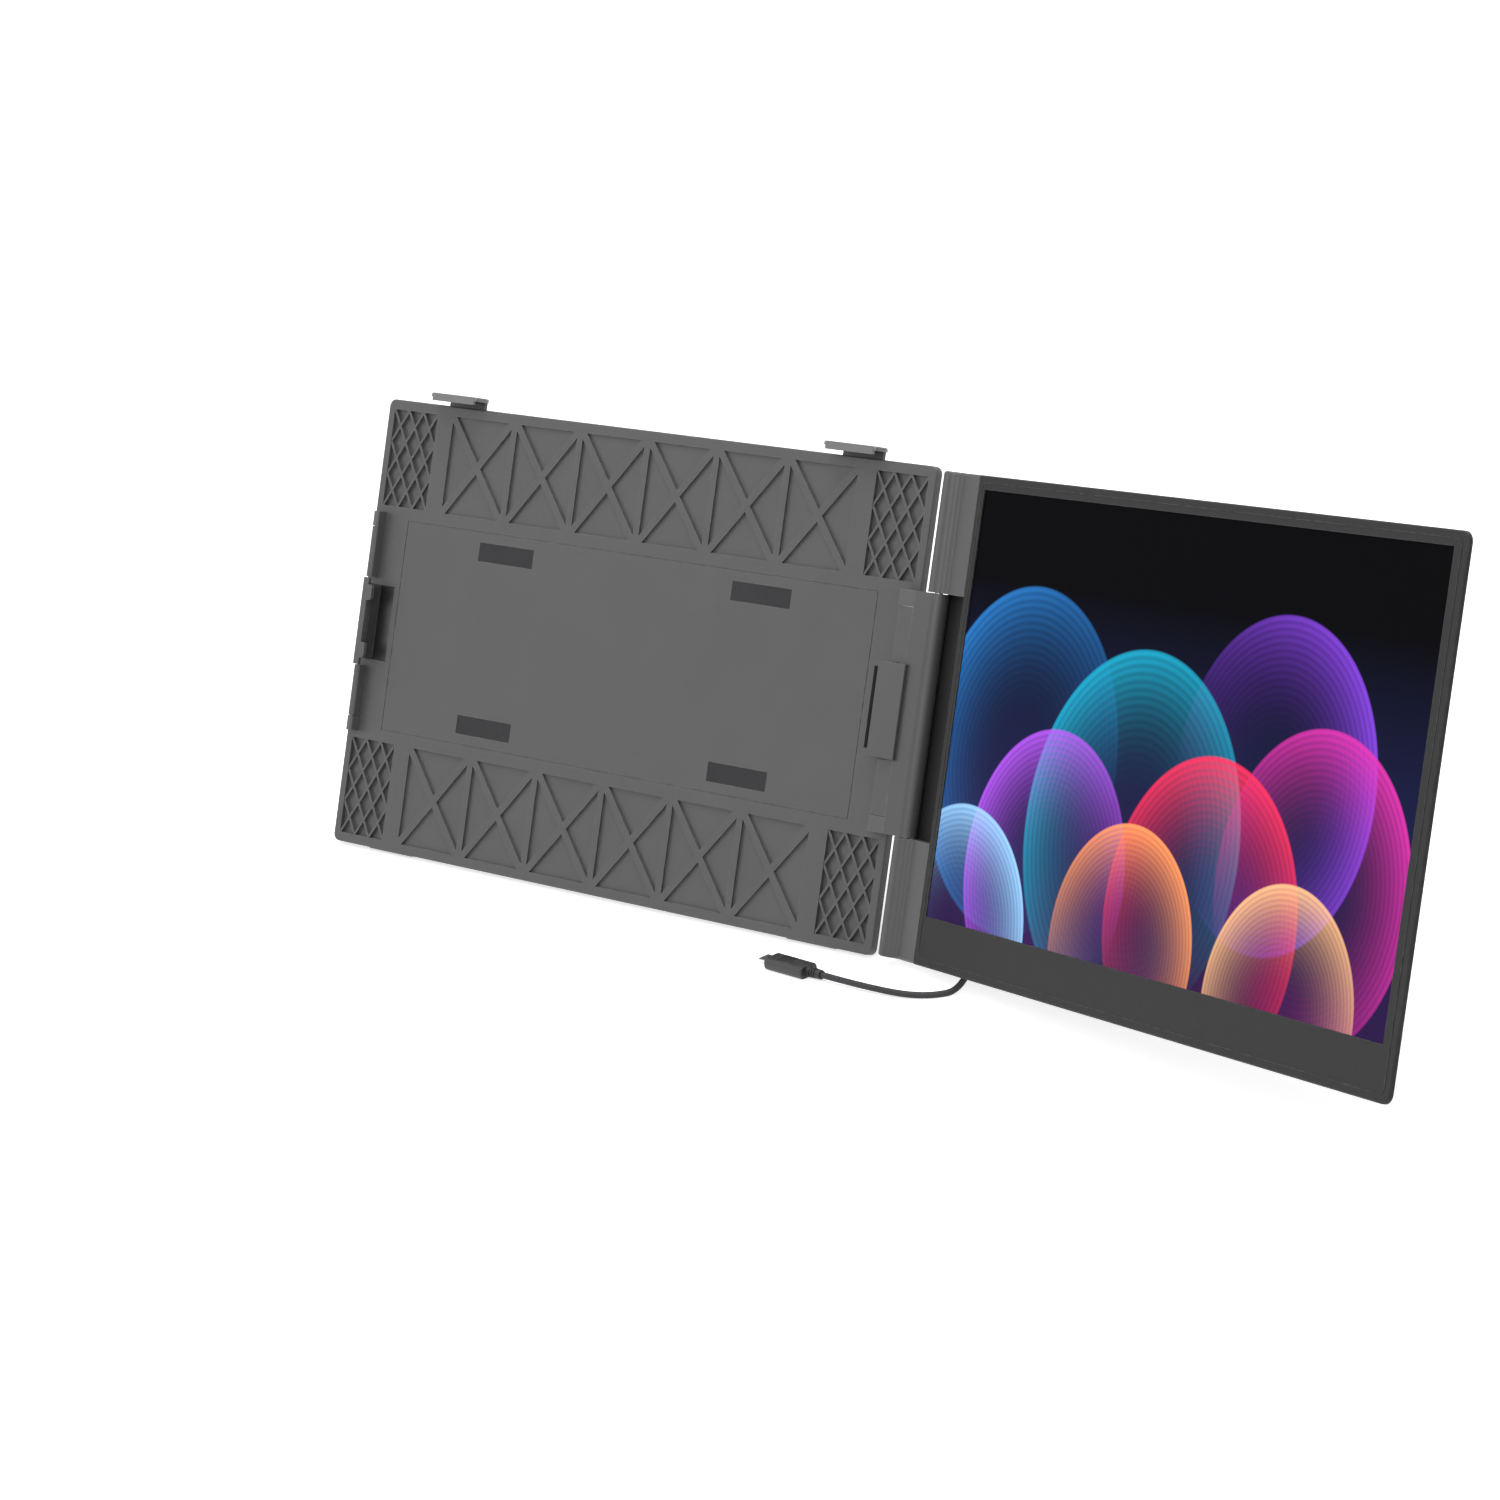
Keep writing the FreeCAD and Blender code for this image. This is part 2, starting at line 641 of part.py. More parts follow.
def boss_spots():
    return [(x, z) for x in (60.0, 210.0, 360.0) for z in (-88.0, 92.0)]


def screen_back_cover():
    outer = tapered_body(SHELF_LEFT, SCREEN_RIGHT, SCREEN_BOTTOM, SCREEN_TOP,
                         BEZEL_T - FACE, SIDE_DEPTH, SCREEN_BACK, BEVEL, 5.0)
    outer = outer.cut(box(SHELF_LEFT - 1.0, SCREEN_LEFT, 0.0, SHELF_FRONT,
                          SCREEN_BOTTOM - 1.0, SCREEN_TOP + 1.0))
    t = SHELL + 0.2
    inner = tapered_body(SCREEN_LEFT + t, SCREEN_RIGHT - t, SCREEN_BOTTOM + t, SCREEN_TOP - t,
                         BEZEL_T - FACE - 0.5, SIDE_DEPTH - 0.3, SCREEN_BACK - SHELL, BEVEL - 1.0, 4.0)
    cover = outer.cut(inner)
    for side in (1, -1):
        a = side * (LEAF_NEAR - 0.5)
        b = side * (LEAF_FAR + 0.5)
        cover = cover.cut(box(SCREEN_LEFT - 0.1, SCREEN_LEFT + t + 0.1, 4.0, 5.4, min(a, b), max(a, b)))
    chassis_back = BEZEL_T - FACE - LIP_T - 0.2 + PANEL_T + LIGHT_T + CHASSIS_T
    for x, z in boss_spots():
        cover = cover.fuse(pin_y(x, z, chassis_back, SCREEN_BACK - SHELL + 0.2, 3.0))
        cover = cover.cut(pin_y(x, z, chassis_back - 0.1, SCREEN_BACK + 0.1, 1.1))
        cover = cover.cut(pin_y(x, z, SCREEN_BACK - 1.0, SCREEN_BACK + 0.1, 2.2))
    cover = cover.cut(box(HUB_LEFT + 30.0, HUB_LEFT + 60.0, SCREEN_BACK - SHELL - 0.1, SCREEN_BACK + 0.1,
                          HUB_BOTTOM + 12.0, HUB_TOP - 20.0))
    for x in (HUB_LEFT + 6.0, HUB_RIGHT - 6.0):
        for z in (HUB_BOTTOM + 14.0, HUB_TOP - 6.0):
            cover = cover.fuse(pin_y(x, z, SCREEN_BACK - 0.2, BOARD_FRONT, 2.4))
    for k in range(8):
        x = 300.0 + k * 6.0
        cover = cover.cut(box(x, x + 2.4, SCREEN_BACK - SHELL - 0.2, SCREEN_BACK + 0.1, -72.0, -58.0))
    return cover


def screen_bezel():
    blank = box(SCREEN_LEFT + SEAM, SCREEN_RIGHT, -FACE, BEZEL_T - FACE, SCREEN_BOTTOM, SCREEN_TOP)
    blank = fillet_edges(blank, 5.0, lambda e: along(e, 1) and on_level(e, 0, SCREEN_RIGHT))
    edge = [e for e in blank.Edges if on_level(e, 1, -FACE) and not on_level(e, 0, SCREEN_LEFT + SEAM)]
    blank = blank.makeChamfer(0.5, edge)
    window = box(ACTIVE_LEFT, ACTIVE_RIGHT, -FACE - 0.1, BEZEL_T, ACTIVE_BOTTOM, ACTIVE_TOP)
    rebate = box(ACTIVE_LEFT - 2.2, ACTIVE_RIGHT + 2.2, LIP_T - FACE, BEZEL_T,
                 ACTIVE_BOTTOM - 2.2, ACTIVE_TOP + 2.2)
    return blank.cut(window).cut(rebate)


def display_panel():
    y0 = LIP_T - FACE
    return box(ACTIVE_LEFT - 2.0, ACTIVE_RIGHT + 2.0, y0, y0 + PANEL_T, ACTIVE_BOTTOM - 2.0, ACTIVE_TOP + 2.0)


def backlight_unit():
    y0 = LIP_T - FACE + PANEL_T
    return box(ACTIVE_LEFT - 1.2, ACTIVE_RIGHT + 0.6, y0, y0 + LIGHT_T, ACTIVE_BOTTOM - 1.2, ACTIVE_TOP - 0.3)


def screen_chassis():
    y0 = LIP_T - FACE + PANEL_T + LIGHT_T
    sheet = box(25.2, 395.5, y0, y0 + CHASSIS_T, -109.0, 110.0)
    for side in (1, -1):
        a = side * (LEAF_NEAR + 1.0)
        b = side * (LEAF_FAR - 1.0)
        sheet = sheet.fuse(box(8.0, 25.3, y0, y0 + CHASSIS_T, min(a, b), max(a, b)))
    for k in range(4):
        x = 250.0 + (k - 1.5) * 62.0
        sheet = sheet.cut(box(x - 24.0, x + 24.0, y0 - 0.1, y0 + CHASSIS_T + 0.1, -40.0, 60.0))
    for x, z in boss_spots():
        sheet = sheet.cut(pin_y(x, z, y0 - 0.1, y0 + CHASSIS_T + 0.1, 0.9))
    return sheet


def screen_screws():
    chassis_back = LIP_T - FACE + PANEL_T + LIGHT_T + CHASSIS_T
    screws = []
    for x, z in boss_spots():
        shank = pin_y(x, z, chassis_back - 0.7, SCREEN_BACK - 1.0, 0.85)
        head = pin_y(x, z, SCREEN_BACK - 1.0, SCREEN_BACK - 0.1, 2.0)
        head = head.cut(box(x - 1.3, x + 1.3, SCREEN_BACK - 0.5, SCREEN_BACK, z - 0.2, z + 0.2))
        head = head.cut(box(x - 0.2, x + 0.2, SCREEN_BACK - 0.5, SCREEN_BACK, z - 1.3, z + 1.3))
        screws.append(fuse([shank, head]))
    return Part.makeCompound(screws)


def speakers():
    y0 = BEZEL_T - FACE
    cans = []
    for x in (70.0, 330.0):
        can = box(x, x + 40.0, y0, y0 + 2.9, -109.5, -98.0)
        can = can.cut(box(x + 2.0, x + 38.0, y0 - 0.1, y0 + 0.5, -108.0, -99.5))
        cans.append(can)
    return Part.makeCompound(cans)


def hub_cover():
    hub = box(HUB_LEFT, HUB_RIGHT, SCREEN_BACK, HUB_BACK, HUB_BOTTOM, HUB_TOP)
    hub = fillet_edges(hub, 4.0, lambda e: along(e, 1))
    hub = fillet_edges(hub, 1.2, lambda e: on_level(e, 1, HUB_BACK))
    w = HUB_WALL
    hub = hub.cut(box(HUB_LEFT + w, HUB_RIGHT - w, SCREEN_BACK - 0.1, HUB_BACK - w, HUB_BOTTOM + w, HUB_TOP - w))
    for x in PORT_X:
        hub = hub.cut(box(x - PORT_W / 2.0 - 0.2, x + PORT_W / 2.0 + 0.2, PORT_Y - PORT_H / 2.0 - 0.2,
                          PORT_Y + PORT_H / 2.0 + 0.2, HUB_BOTTOM - 0.1, HUB_BOTTOM + w + 0.1))
    hub = hub.cut(box(VIDEO_X - 5.8, VIDEO_X + 5.8, PORT_Y - PORT_H / 2.0 - 0.2,
                      PORT_Y + PORT_H / 2.0 + 0.2, HUB_BOTTOM - 0.1, HUB_BOTTOM + w + 0.1))
    for x in BUTTON_X:
        hub = hub.cut(pin_y(x, BUTTON_Z, HUB_BACK - w - 0.1, HUB_BACK + 0.1, BUTTON_R + 0.15))
    hub = hub.cut(pin_y(LAMP_X, BUTTON_Z, HUB_BACK - w - 0.1, HUB_BACK + 0.1, 1.2))
    return hub


def controller_board():
    board = box(HUB_LEFT + 3.0, HUB_RIGHT - 3.0, BOARD_FRONT, BOARD_FRONT + BOARD_T, HUB_BOTTOM + 4.0, HUB_TOP - 2.0)
    chips = []
    for x, z, s in ((66.0, -52.0, 8.0), (92.0, -50.0, 11.0), (128.0, -44.0, 9.0), (128.0, -26.0, 6.0)):
        chips.append(box(x - s / 2.0, x + s / 2.0, BOARD_FRONT + BOARD_T, BOARD_FRONT + BOARD_T + 1.2,
                         z - s / 2.0, z + s / 2.0))
    for x in BUTTON_X:
        chips.append(box(x - 2.5, x + 2.5, BOARD_FRONT + BOARD_T, BOARD_FRONT + BOARD_T + 1.6,
                         BUTTON_Z - 2.5, BUTTON_Z + 2.5))
    chips.append(box(LAMP_X - 1.5, LAMP_X + 1.5, BOARD_FRONT + BOARD_T, BOARD_FRONT + BOARD_T + 1.0,
                     BUTTON_Z - 1.5, BUTTON_Z + 1.5))
    return fuse([board] + chips)


def usb_ports():
    ports = []
    for x in PORT_X:
        z0 = HUB_BOTTOM + 0.2
        body = box(x - PORT_W / 2.0, x + PORT_W / 2.0, PORT_Y - PORT_H / 2.0, PORT_Y + PORT_H / 2.0,
                   z0, z0 + PORT_L)
        body = fillet_edges(body, 1.4, lambda e: along(e, 2))
        room = box(x - 4.2, x + 4.2, PORT_Y - 1.3, PORT_Y + 1.3, z0 - 0.1, z0 + PORT_L - 0.5)
        room = fillet_edges(room, 1.2, lambda e: along(e, 2))
        tongue = box(x - 3.3, x + 3.3, PORT_Y - 0.3, PORT_Y + 0.3, z0 + 1.0, z0 + PORT_L - 0.4)
        ports.append(fuse([body.cut(room), tongue]))
    return Part.makeCompound(ports)


def video_port():
    z0 = HUB_BOTTOM + 0.2
    body = box(VIDEO_X - 5.6, VIDEO_X + 5.6, PORT_Y - PORT_H / 2.0, PORT_Y + PORT_H / 2.0, z0, z0 + PORT_L)
    room = box(VIDEO_X - 5.1, VIDEO_X + 5.1, PORT_Y - 1.15, PORT_Y + 1.15, z0 - 0.1, z0 + PORT_L - 0.5)
    tongue = box(VIDEO_X - 3.8, VIDEO_X + 3.8, PORT_Y - 0.35, PORT_Y + 0.35, z0 + 1.0, z0 + PORT_L - 0.4)
    return fuse([body.cut(room), tongue])


def push_button(index):
    x = BUTTON_X[index]
    back = HUB_BACK + BUTTON_PROUD
    cap = pin_y(x, BUTTON_Z, HUB_BACK - HUB_WALL - 0.6, back, BUTTON_R)
    cap = fillet_edges(cap, 0.4, lambda e: on_level(e, 1, back))
    stem = pin_y(x, BUTTON_Z, BOARD_FRONT + BOARD_T + 1.6 + BUTTON_TRAVEL + 0.1, HUB_BACK - HUB_WALL, 1.6)
    cap = fuse([cap, stem])
    if index == 0:
        mark = pin_y(x, BUTTON_Z, back - 0.2, back + 0.1, 2.0)
        mark = mark.cut(pin_y(x, BUTTON_Z, back - 0.3, back + 0.2, 1.5))
        cap = cap.cut(mark)
    else:
        cap = cap.cut(box(x - 1.8, x + 1.8, back - 0.2, back + 0.1, BUTTON_Z - 0.3, BUTTON_Z + 0.3))
    if index == 1:
        cap = cap.cut(box(x - 0.3, x + 0.3, back - 0.2, back + 0.1, BUTTON_Z - 1.8, BUTTON_Z + 1.8))
    return cap


def status_lamp():
    y0 = BOARD_FRONT + BOARD_T + 1.0
    return pin_y(LAMP_X, BUTTON_Z, y0, HUB_BACK - 0.1, 1.1)


def port_plug_shell():
    x = PORT_X[0]
    z1 = HUB_BOTTOM + 0.2 + SHELL_L - 0.6
    shell = box(x - SHELL_W / 2.0, x + SHELL_W / 2.0, PORT_Y - SHELL_T / 2.0, PORT_Y + SHELL_T / 2.0,
                HUB_BOTTOM, z1)
    shell = fillet_edges(shell, 1.15, lambda e: along(e, 2))
    return shell.cut(box(x - 3.5, x + 3.5, PORT_Y - 0.5, PORT_Y + 0.5, HUB_BOTTOM + 0.4, z1 + 0.1))


def port_plug_body():
    x = PORT_X[0]
    body = box(x - PLUG_W / 2.0, x + PLUG_W / 2.0, PORT_Y - PLUG_T / 2.0, PORT_Y + PLUG_T / 2.0,
               HUB_BOTTOM - PLUG_L, HUB_BOTTOM)
    return fillet_edges(body, 2.4, lambda e: along(e, 2))


def relief(length, tip_r, root_r):
    # Ribbed sleeve along +Z from its root at the origin
    cone = Part.makeCone(root_r, tip_r, length, vec(0, 0, 0), vec(0, 0, 1))
    for k in range(3):
        z = 2.0 + k * (length - 4.0) / 3.0
        ring = Part.makeCylinder(root_r + 0.5, 0.9, vec(0, 0, z), vec(0, 0, 1))
        ring = ring.cut(Part.makeCylinder(tip_r - 0.15, 0.9, vec(0, 0, z), vec(0, 0, 1)))
        cone = cone.cut(ring)
    return cone.cut(Part.makeCylinder(CORD_R, 3.0, vec(0, 0, length - 3.0), vec(0, 0, 1)))


def port_plug_relief():
    part = relief(RELIEF_L, CORD_R + 0.7, 2.8)
    part.rotate(vec(0, 0, 0), vec(1, 0, 0), 180.0)
    part.translate(vec(PORT_X[0], PORT_Y, HUB_BOTTOM - PLUG_L))
    return part


def to_screen(shape):
    shape = shape.copy()
    shape.rotate(vec(0, 0, 0), vec(0, 0, 1), -SWING)
    shape.translate(vec(AXIS_X, AXIS_Y, 0))
    return shape


def lean(shape):
    shape = shape.copy()
    shape.rotate(vec(0, 0, 0), vec(1, 0, 0), -LEAN)
    return shape


def lean_point(p):
    a = math.radians(LEAN)
    return vec(p[0], p[1] * math.cos(a) + p[2] * math.sin(a), -p[1] * math.sin(a) + p[2] * math.cos(a))


def screen_point(r, y, z):
    a = math.radians(SWING)
    return (AXIS_X + r * math.cos(a) + y * math.sin(a), AXIS_Y - r * math.sin(a) + y * math.cos(a), z)


def cord_route():
    # Corner points of the cord, from the port plug down to the table and round to the free plug
    level = TABLE_Z + CORD_R
    end_level = TABLE_Z + PLUG_T / 2.0
    top = lean_point(screen_point(PORT_X[0], PORT_Y, HUB_BOTTOM - PLUG_L - RELIEF_L))
    below = lean_point(screen_point(PORT_X[0], PORT_Y, HUB_BOTTOM - PLUG_L - RELIEF_L - 1.0))
    step = below - top
    corner = top + step * ((level - top.z) / step.z)
    return [top, corner, vec(248.0, -70.5, level), vec(216.0, -75.5, end_level), vec(187.2, -73.0, end_level)]


def unit(v):
    w = vec(v.x, v.y, v.z)
    w.normalize()
    return w


def cord():
    points = cord_route()
    first = unit(points[0] - points[1])
    last = unit(points[-1] - points[-2])
    points = [points[0] + first * 2.9] + points[1:-1] + [points[-1] + last * 2.9]
    edges = []
    here = points[0]
    for i in range(1, len(points) - 1):
        a = unit(points[i] - points[i - 1])
        b = unit(points[i + 1] - points[i])
        turn = a.getAngle(b)
        runs = ((cord_route()[i] - cord_route()[i - 1]).Length, (cord_route()[i + 1] - cord_route()[i]).Length)
        radius = 0.45 * min(runs) / math.tan(turn / 2.0)
        back = radius * math.tan(turn / 2.0)
        start = points[i] - a * back
        end = points[i] + b * back
        inward = unit(b - a)
        centre = points[i] + inward * (radius / math.cos(turn / 2.0))
        middle = centre - inward * radius
        edges.append(Part.makeLine(here, start))
        edges.append(Part.Arc(start, middle, end).toShape())
        here = end
        print("cord bend", i, "radius", round(radius, 1), "turn", round(math.degrees(turn), 1))
    edges.append(Part.makeLine(here, points[-1]))
    path = Part.Wire(edges)
    ring = Part.Wire([Part.makeCircle(CORD_R, points[0], unit(points[1] - points[0]))])
    tube = path.makePipeShell([ring], True, True)
    expected = math.pi * CORD_R ** 2 * path.Length
    print("cord length", round(path.Length, 1), "volume over expected", round(tube.Volume / expected, 4))
    return tube


def free_end(shape):
    # Places a shape built along +Z from the origin at the cord's free end
    points = cord_route()
    end = points[-1]
    out = unit(points[-1] - points[-2])
    shape = shape.copy()
    heading = math.degrees(math.atan2(out.y, out.x))
    shape.rotate(vec(0, 0, 0), vec(0, 1, 0), 90.0)
    shape.rotate(vec(0, 0, 0), vec(0, 0, 1), heading)
    shape.translate(vec(end.x, end.y, TABLE_Z + PLUG_T / 2.0))
    return shape


def free_plug_relief():
    part = relief(RELIEF_L - 2.0, CORD_R + 0.7, 2.8)
    part.rotate(vec(0, 0, 0), vec(1, 0, 0), 180.0)
    part.translate(vec(0, 0, RELIEF_L - 2.0))
    return free_end(part)


def free_plug_body():
    z0 = RELIEF_L - 2.0
    body = box(-PLUG_T / 2.0, PLUG_T / 2.0, -PLUG_W / 2.0, PLUG_W / 2.0, z0, z0 + FREE_PLUG_L)
    body = fillet_edges(body, 2.4, lambda e: along(e, 2))
    body = fillet_edges(body, 0.6, lambda e: on_level(e, 2, z0))
    return free_end(body)


def free_plug_shell():
    z0 = RELIEF_L - 2.0 + FREE_PLUG_L
    shell = box(-SHELL_T / 2.0, SHELL_T / 2.0, -SHELL_W / 2.0, SHELL_W / 2.0, z0, z0 + SHELL_L)
    shell = fillet_edges(shell, 1.15, lambda e: along(e, 2))
    shell = shell.cut(box(-0.6, 0.6, -3.5, 3.5, z0 + 0.5, z0 + SHELL_L + 0.1))
    return free_end(shell)


def frame_parts():
    return {
        "frame_front_cover": frame_front_cover(),
        "frame_back_cover": frame_back_cover(),
        "frame_screws": frame_screws(),
        "frame_stiffener": frame_stiffener(),
        "lid_pads": lid_pads(),
        "frame_feet": frame_feet(),
        "band_block_right": raised_block(1),
        "band_block_left": raised_block(-1),
        "band_end_tiles": end_tiles(),
        "slide_rails": slide_rails(),
        "slide_keepers": slide_keepers(),
        "clamp_right_jaw": clamp_jaw(1),
        "clamp_right_slide": clamp_slide(1),
        "clamp_right_pad": clamp_pad(1),
        "clamp_right_shoe": clamp_shoe(1),
        "clamp_right_screws": clamp_screws(1),
        "clamp_left_jaw": clamp_jaw(-1),
        "clamp_left_slide": clamp_slide(-1),
        "clamp_left_pad": clamp_pad(-1),
        "clamp_left_shoe": clamp_shoe(-1),
        "clamp_left_screws": clamp_screws(-1),
        "hook_left_bar": hook_bar(HOOK_LEFT_X),
        "hook_left_stem": hook_stem(HOOK_LEFT_X),
        "hook_left_brake": hook_brake(HOOK_LEFT_X),
        "hook_left_pad": hook_pad(HOOK_LEFT_X),
        "hook_right_bar": hook_bar(HOOK_RIGHT_X),
        "hook_right_stem": hook_stem(HOOK_RIGHT_X),
        "hook_right_brake": hook_brake(HOOK_RIGHT_X),
        "hook_right_pad": hook_pad(HOOK_RIGHT_X),
        "knuckle_center": knuckle_center(),
        "hinge_socket_upper": hinge_socket(1),
        "hinge_socket_lower": hinge_socket(-1),
    }


def screen_parts():
    return {
        "knuckle_upper": knuckle_outer(1),
        "knuckle_lower": knuckle_outer(-1),
        "hinge_leaf_upper": hinge_leaf(1),
        "hinge_leaf_lower": hinge_leaf(-1),
        "hinge_shaft_upper": hinge_shaft(1),
        "hinge_shaft_lower": hinge_shaft(-1),
        "screen_back_cover": screen_back_cover(),
        "screen_bezel": screen_bezel(),
        "display_panel": display_panel(),
        "backlight_unit": backlight_unit(),
        "screen_chassis": screen_chassis(),
        "screen_screws": screen_screws(),
        "speakers": speakers(),
        "hub_cover": hub_cover(),
        "controller_board": controller_board(),
        "usb_ports": usb_ports(),
        "video_port": video_port(),
        "power_button": push_button(0),
        "plus_button": push_button(1),
        "minus_button": push_button(2),
        "status_lamp": status_lamp(),
        "port_plug_shell": port_plug_shell(),
        "port_plug_body": port_plug_body(),
        "port_plug_relief": port_plug_relief(),
    }


def table_parts():
    return {
        "cord": cord(),
        "free_plug_relief": free_plug_relief(),
        "free_plug_body": free_plug_body(),
        "free_plug_shell": free_plug_shell(),
    }


def build():
    shapes = {}
    for name, shape in frame_parts().items():
        shapes[name] = lean(shape)
    for name, shape in screen_parts().items():
        shapes[name] = lean(to_screen(shape))
    shapes.update(table_parts())
    return shapes


def main():
    os.makedirs("parts", exist_ok=True)
    for name, shape in build().items():
        if not shape.isValid():
            print("not valid:", name)
        shape.exportStep("parts/" + name + ".step")
        print(name, "solids", len(shape.Solids), "volume", round(shape.Volume, 1))


main()
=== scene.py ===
"""Looks of a laptop screen extender: clamp frame, side-hinged display and its short lead."""

import json
import logging
import math
from dataclasses import dataclass
from enum import Enum
from typing import Callable, ClassVar, Dict, List, Sequence, Tuple

import bmesh
import bpy
from mathutils import Matrix, Vector

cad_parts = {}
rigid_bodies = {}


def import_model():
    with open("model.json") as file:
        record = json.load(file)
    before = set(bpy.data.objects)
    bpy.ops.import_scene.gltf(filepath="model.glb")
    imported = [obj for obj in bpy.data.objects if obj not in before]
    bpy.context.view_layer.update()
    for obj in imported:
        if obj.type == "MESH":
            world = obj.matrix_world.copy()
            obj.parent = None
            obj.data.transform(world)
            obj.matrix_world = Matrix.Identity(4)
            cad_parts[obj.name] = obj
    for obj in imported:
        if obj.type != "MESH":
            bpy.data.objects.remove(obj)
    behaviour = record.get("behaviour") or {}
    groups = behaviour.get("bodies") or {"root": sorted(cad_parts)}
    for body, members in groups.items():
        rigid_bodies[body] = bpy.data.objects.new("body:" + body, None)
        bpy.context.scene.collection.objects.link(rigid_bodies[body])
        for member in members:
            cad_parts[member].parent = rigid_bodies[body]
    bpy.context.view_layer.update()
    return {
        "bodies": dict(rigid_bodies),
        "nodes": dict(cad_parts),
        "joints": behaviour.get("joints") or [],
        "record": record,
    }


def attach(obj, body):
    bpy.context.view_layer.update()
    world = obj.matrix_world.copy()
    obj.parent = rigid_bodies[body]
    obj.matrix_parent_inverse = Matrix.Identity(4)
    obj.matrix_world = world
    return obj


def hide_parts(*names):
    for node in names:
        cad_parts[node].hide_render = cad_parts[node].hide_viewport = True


LOG = logging.getLogger("screen_extender")

Colour = Tuple[float, float, float]
Point = Tuple[float, float, float]

MM = 0.001

# The frame's lean back, the screen's swing, the hinge axis in the frame's drawing (X, Y), and
# the table's level, in radians and metres.
LEAN = math.radians(20.33)
SWING = math.radians(19.79)
AXIS = (0.2037, -0.0006)
TABLE_Z = -0.11522


class Side(Enum):
    """The two broad sides of a flat plug."""

    FRONT = 1
    BACK = -1


class Facing(Enum):
    """Turns from a drawing, X and Y on its sheet and Z out of it, to a face of the screen."""

    FRONT = Matrix.Rotation(math.pi / 2, 4, "X")
    BACK = Matrix(((-1, 0, 0, 0), (0, 0, 1, 0), (0, 1, 0, 0), (0, 0, 0, 1)))
    UNDER = Matrix.Rotation(math.pi, 4, "X")


class Grain(Enum):
    """Textures that a mould leaves: noise scale per metre and bump depth in metres."""

    FINE = (2600.0, 0.000018)
    SATIN = (1500.0, 0.000030)
    COARSE = (900.0, 0.000060)


# ---- places ----


class Places:
    """Matrices from a sub-assembly's own drawing to the row frame."""

    @staticmethod
    def lean() -> Matrix:
        """The frame's upright drawing, leaned back as in use."""
        return Matrix.Rotation(-LEAN, 4, "X")

    @staticmethod
    def screen() -> Matrix:
        """The screen's flat drawing: X from the hinge, Y to its back, Z up."""
        swing = Matrix.Rotation(-SWING, 4, "Z")
        return Places.lean() @ Matrix.Translation((AXIS[0], AXIS[1], 0.0)) @ swing

    @staticmethod
    def on_screen(at: Point, facing: Facing) -> Matrix:
        """A drawing on one face of the screen.

        Args:
            at: the drawing's origin in the screen's flat drawing, in metres.
            facing: the face that the drawing lies on.

        Returns:
            The drawing's matrix in the row frame.
        """
        return Places.screen() @ Matrix.Translation(at) @ facing.value


# ---- modelling helpers ----


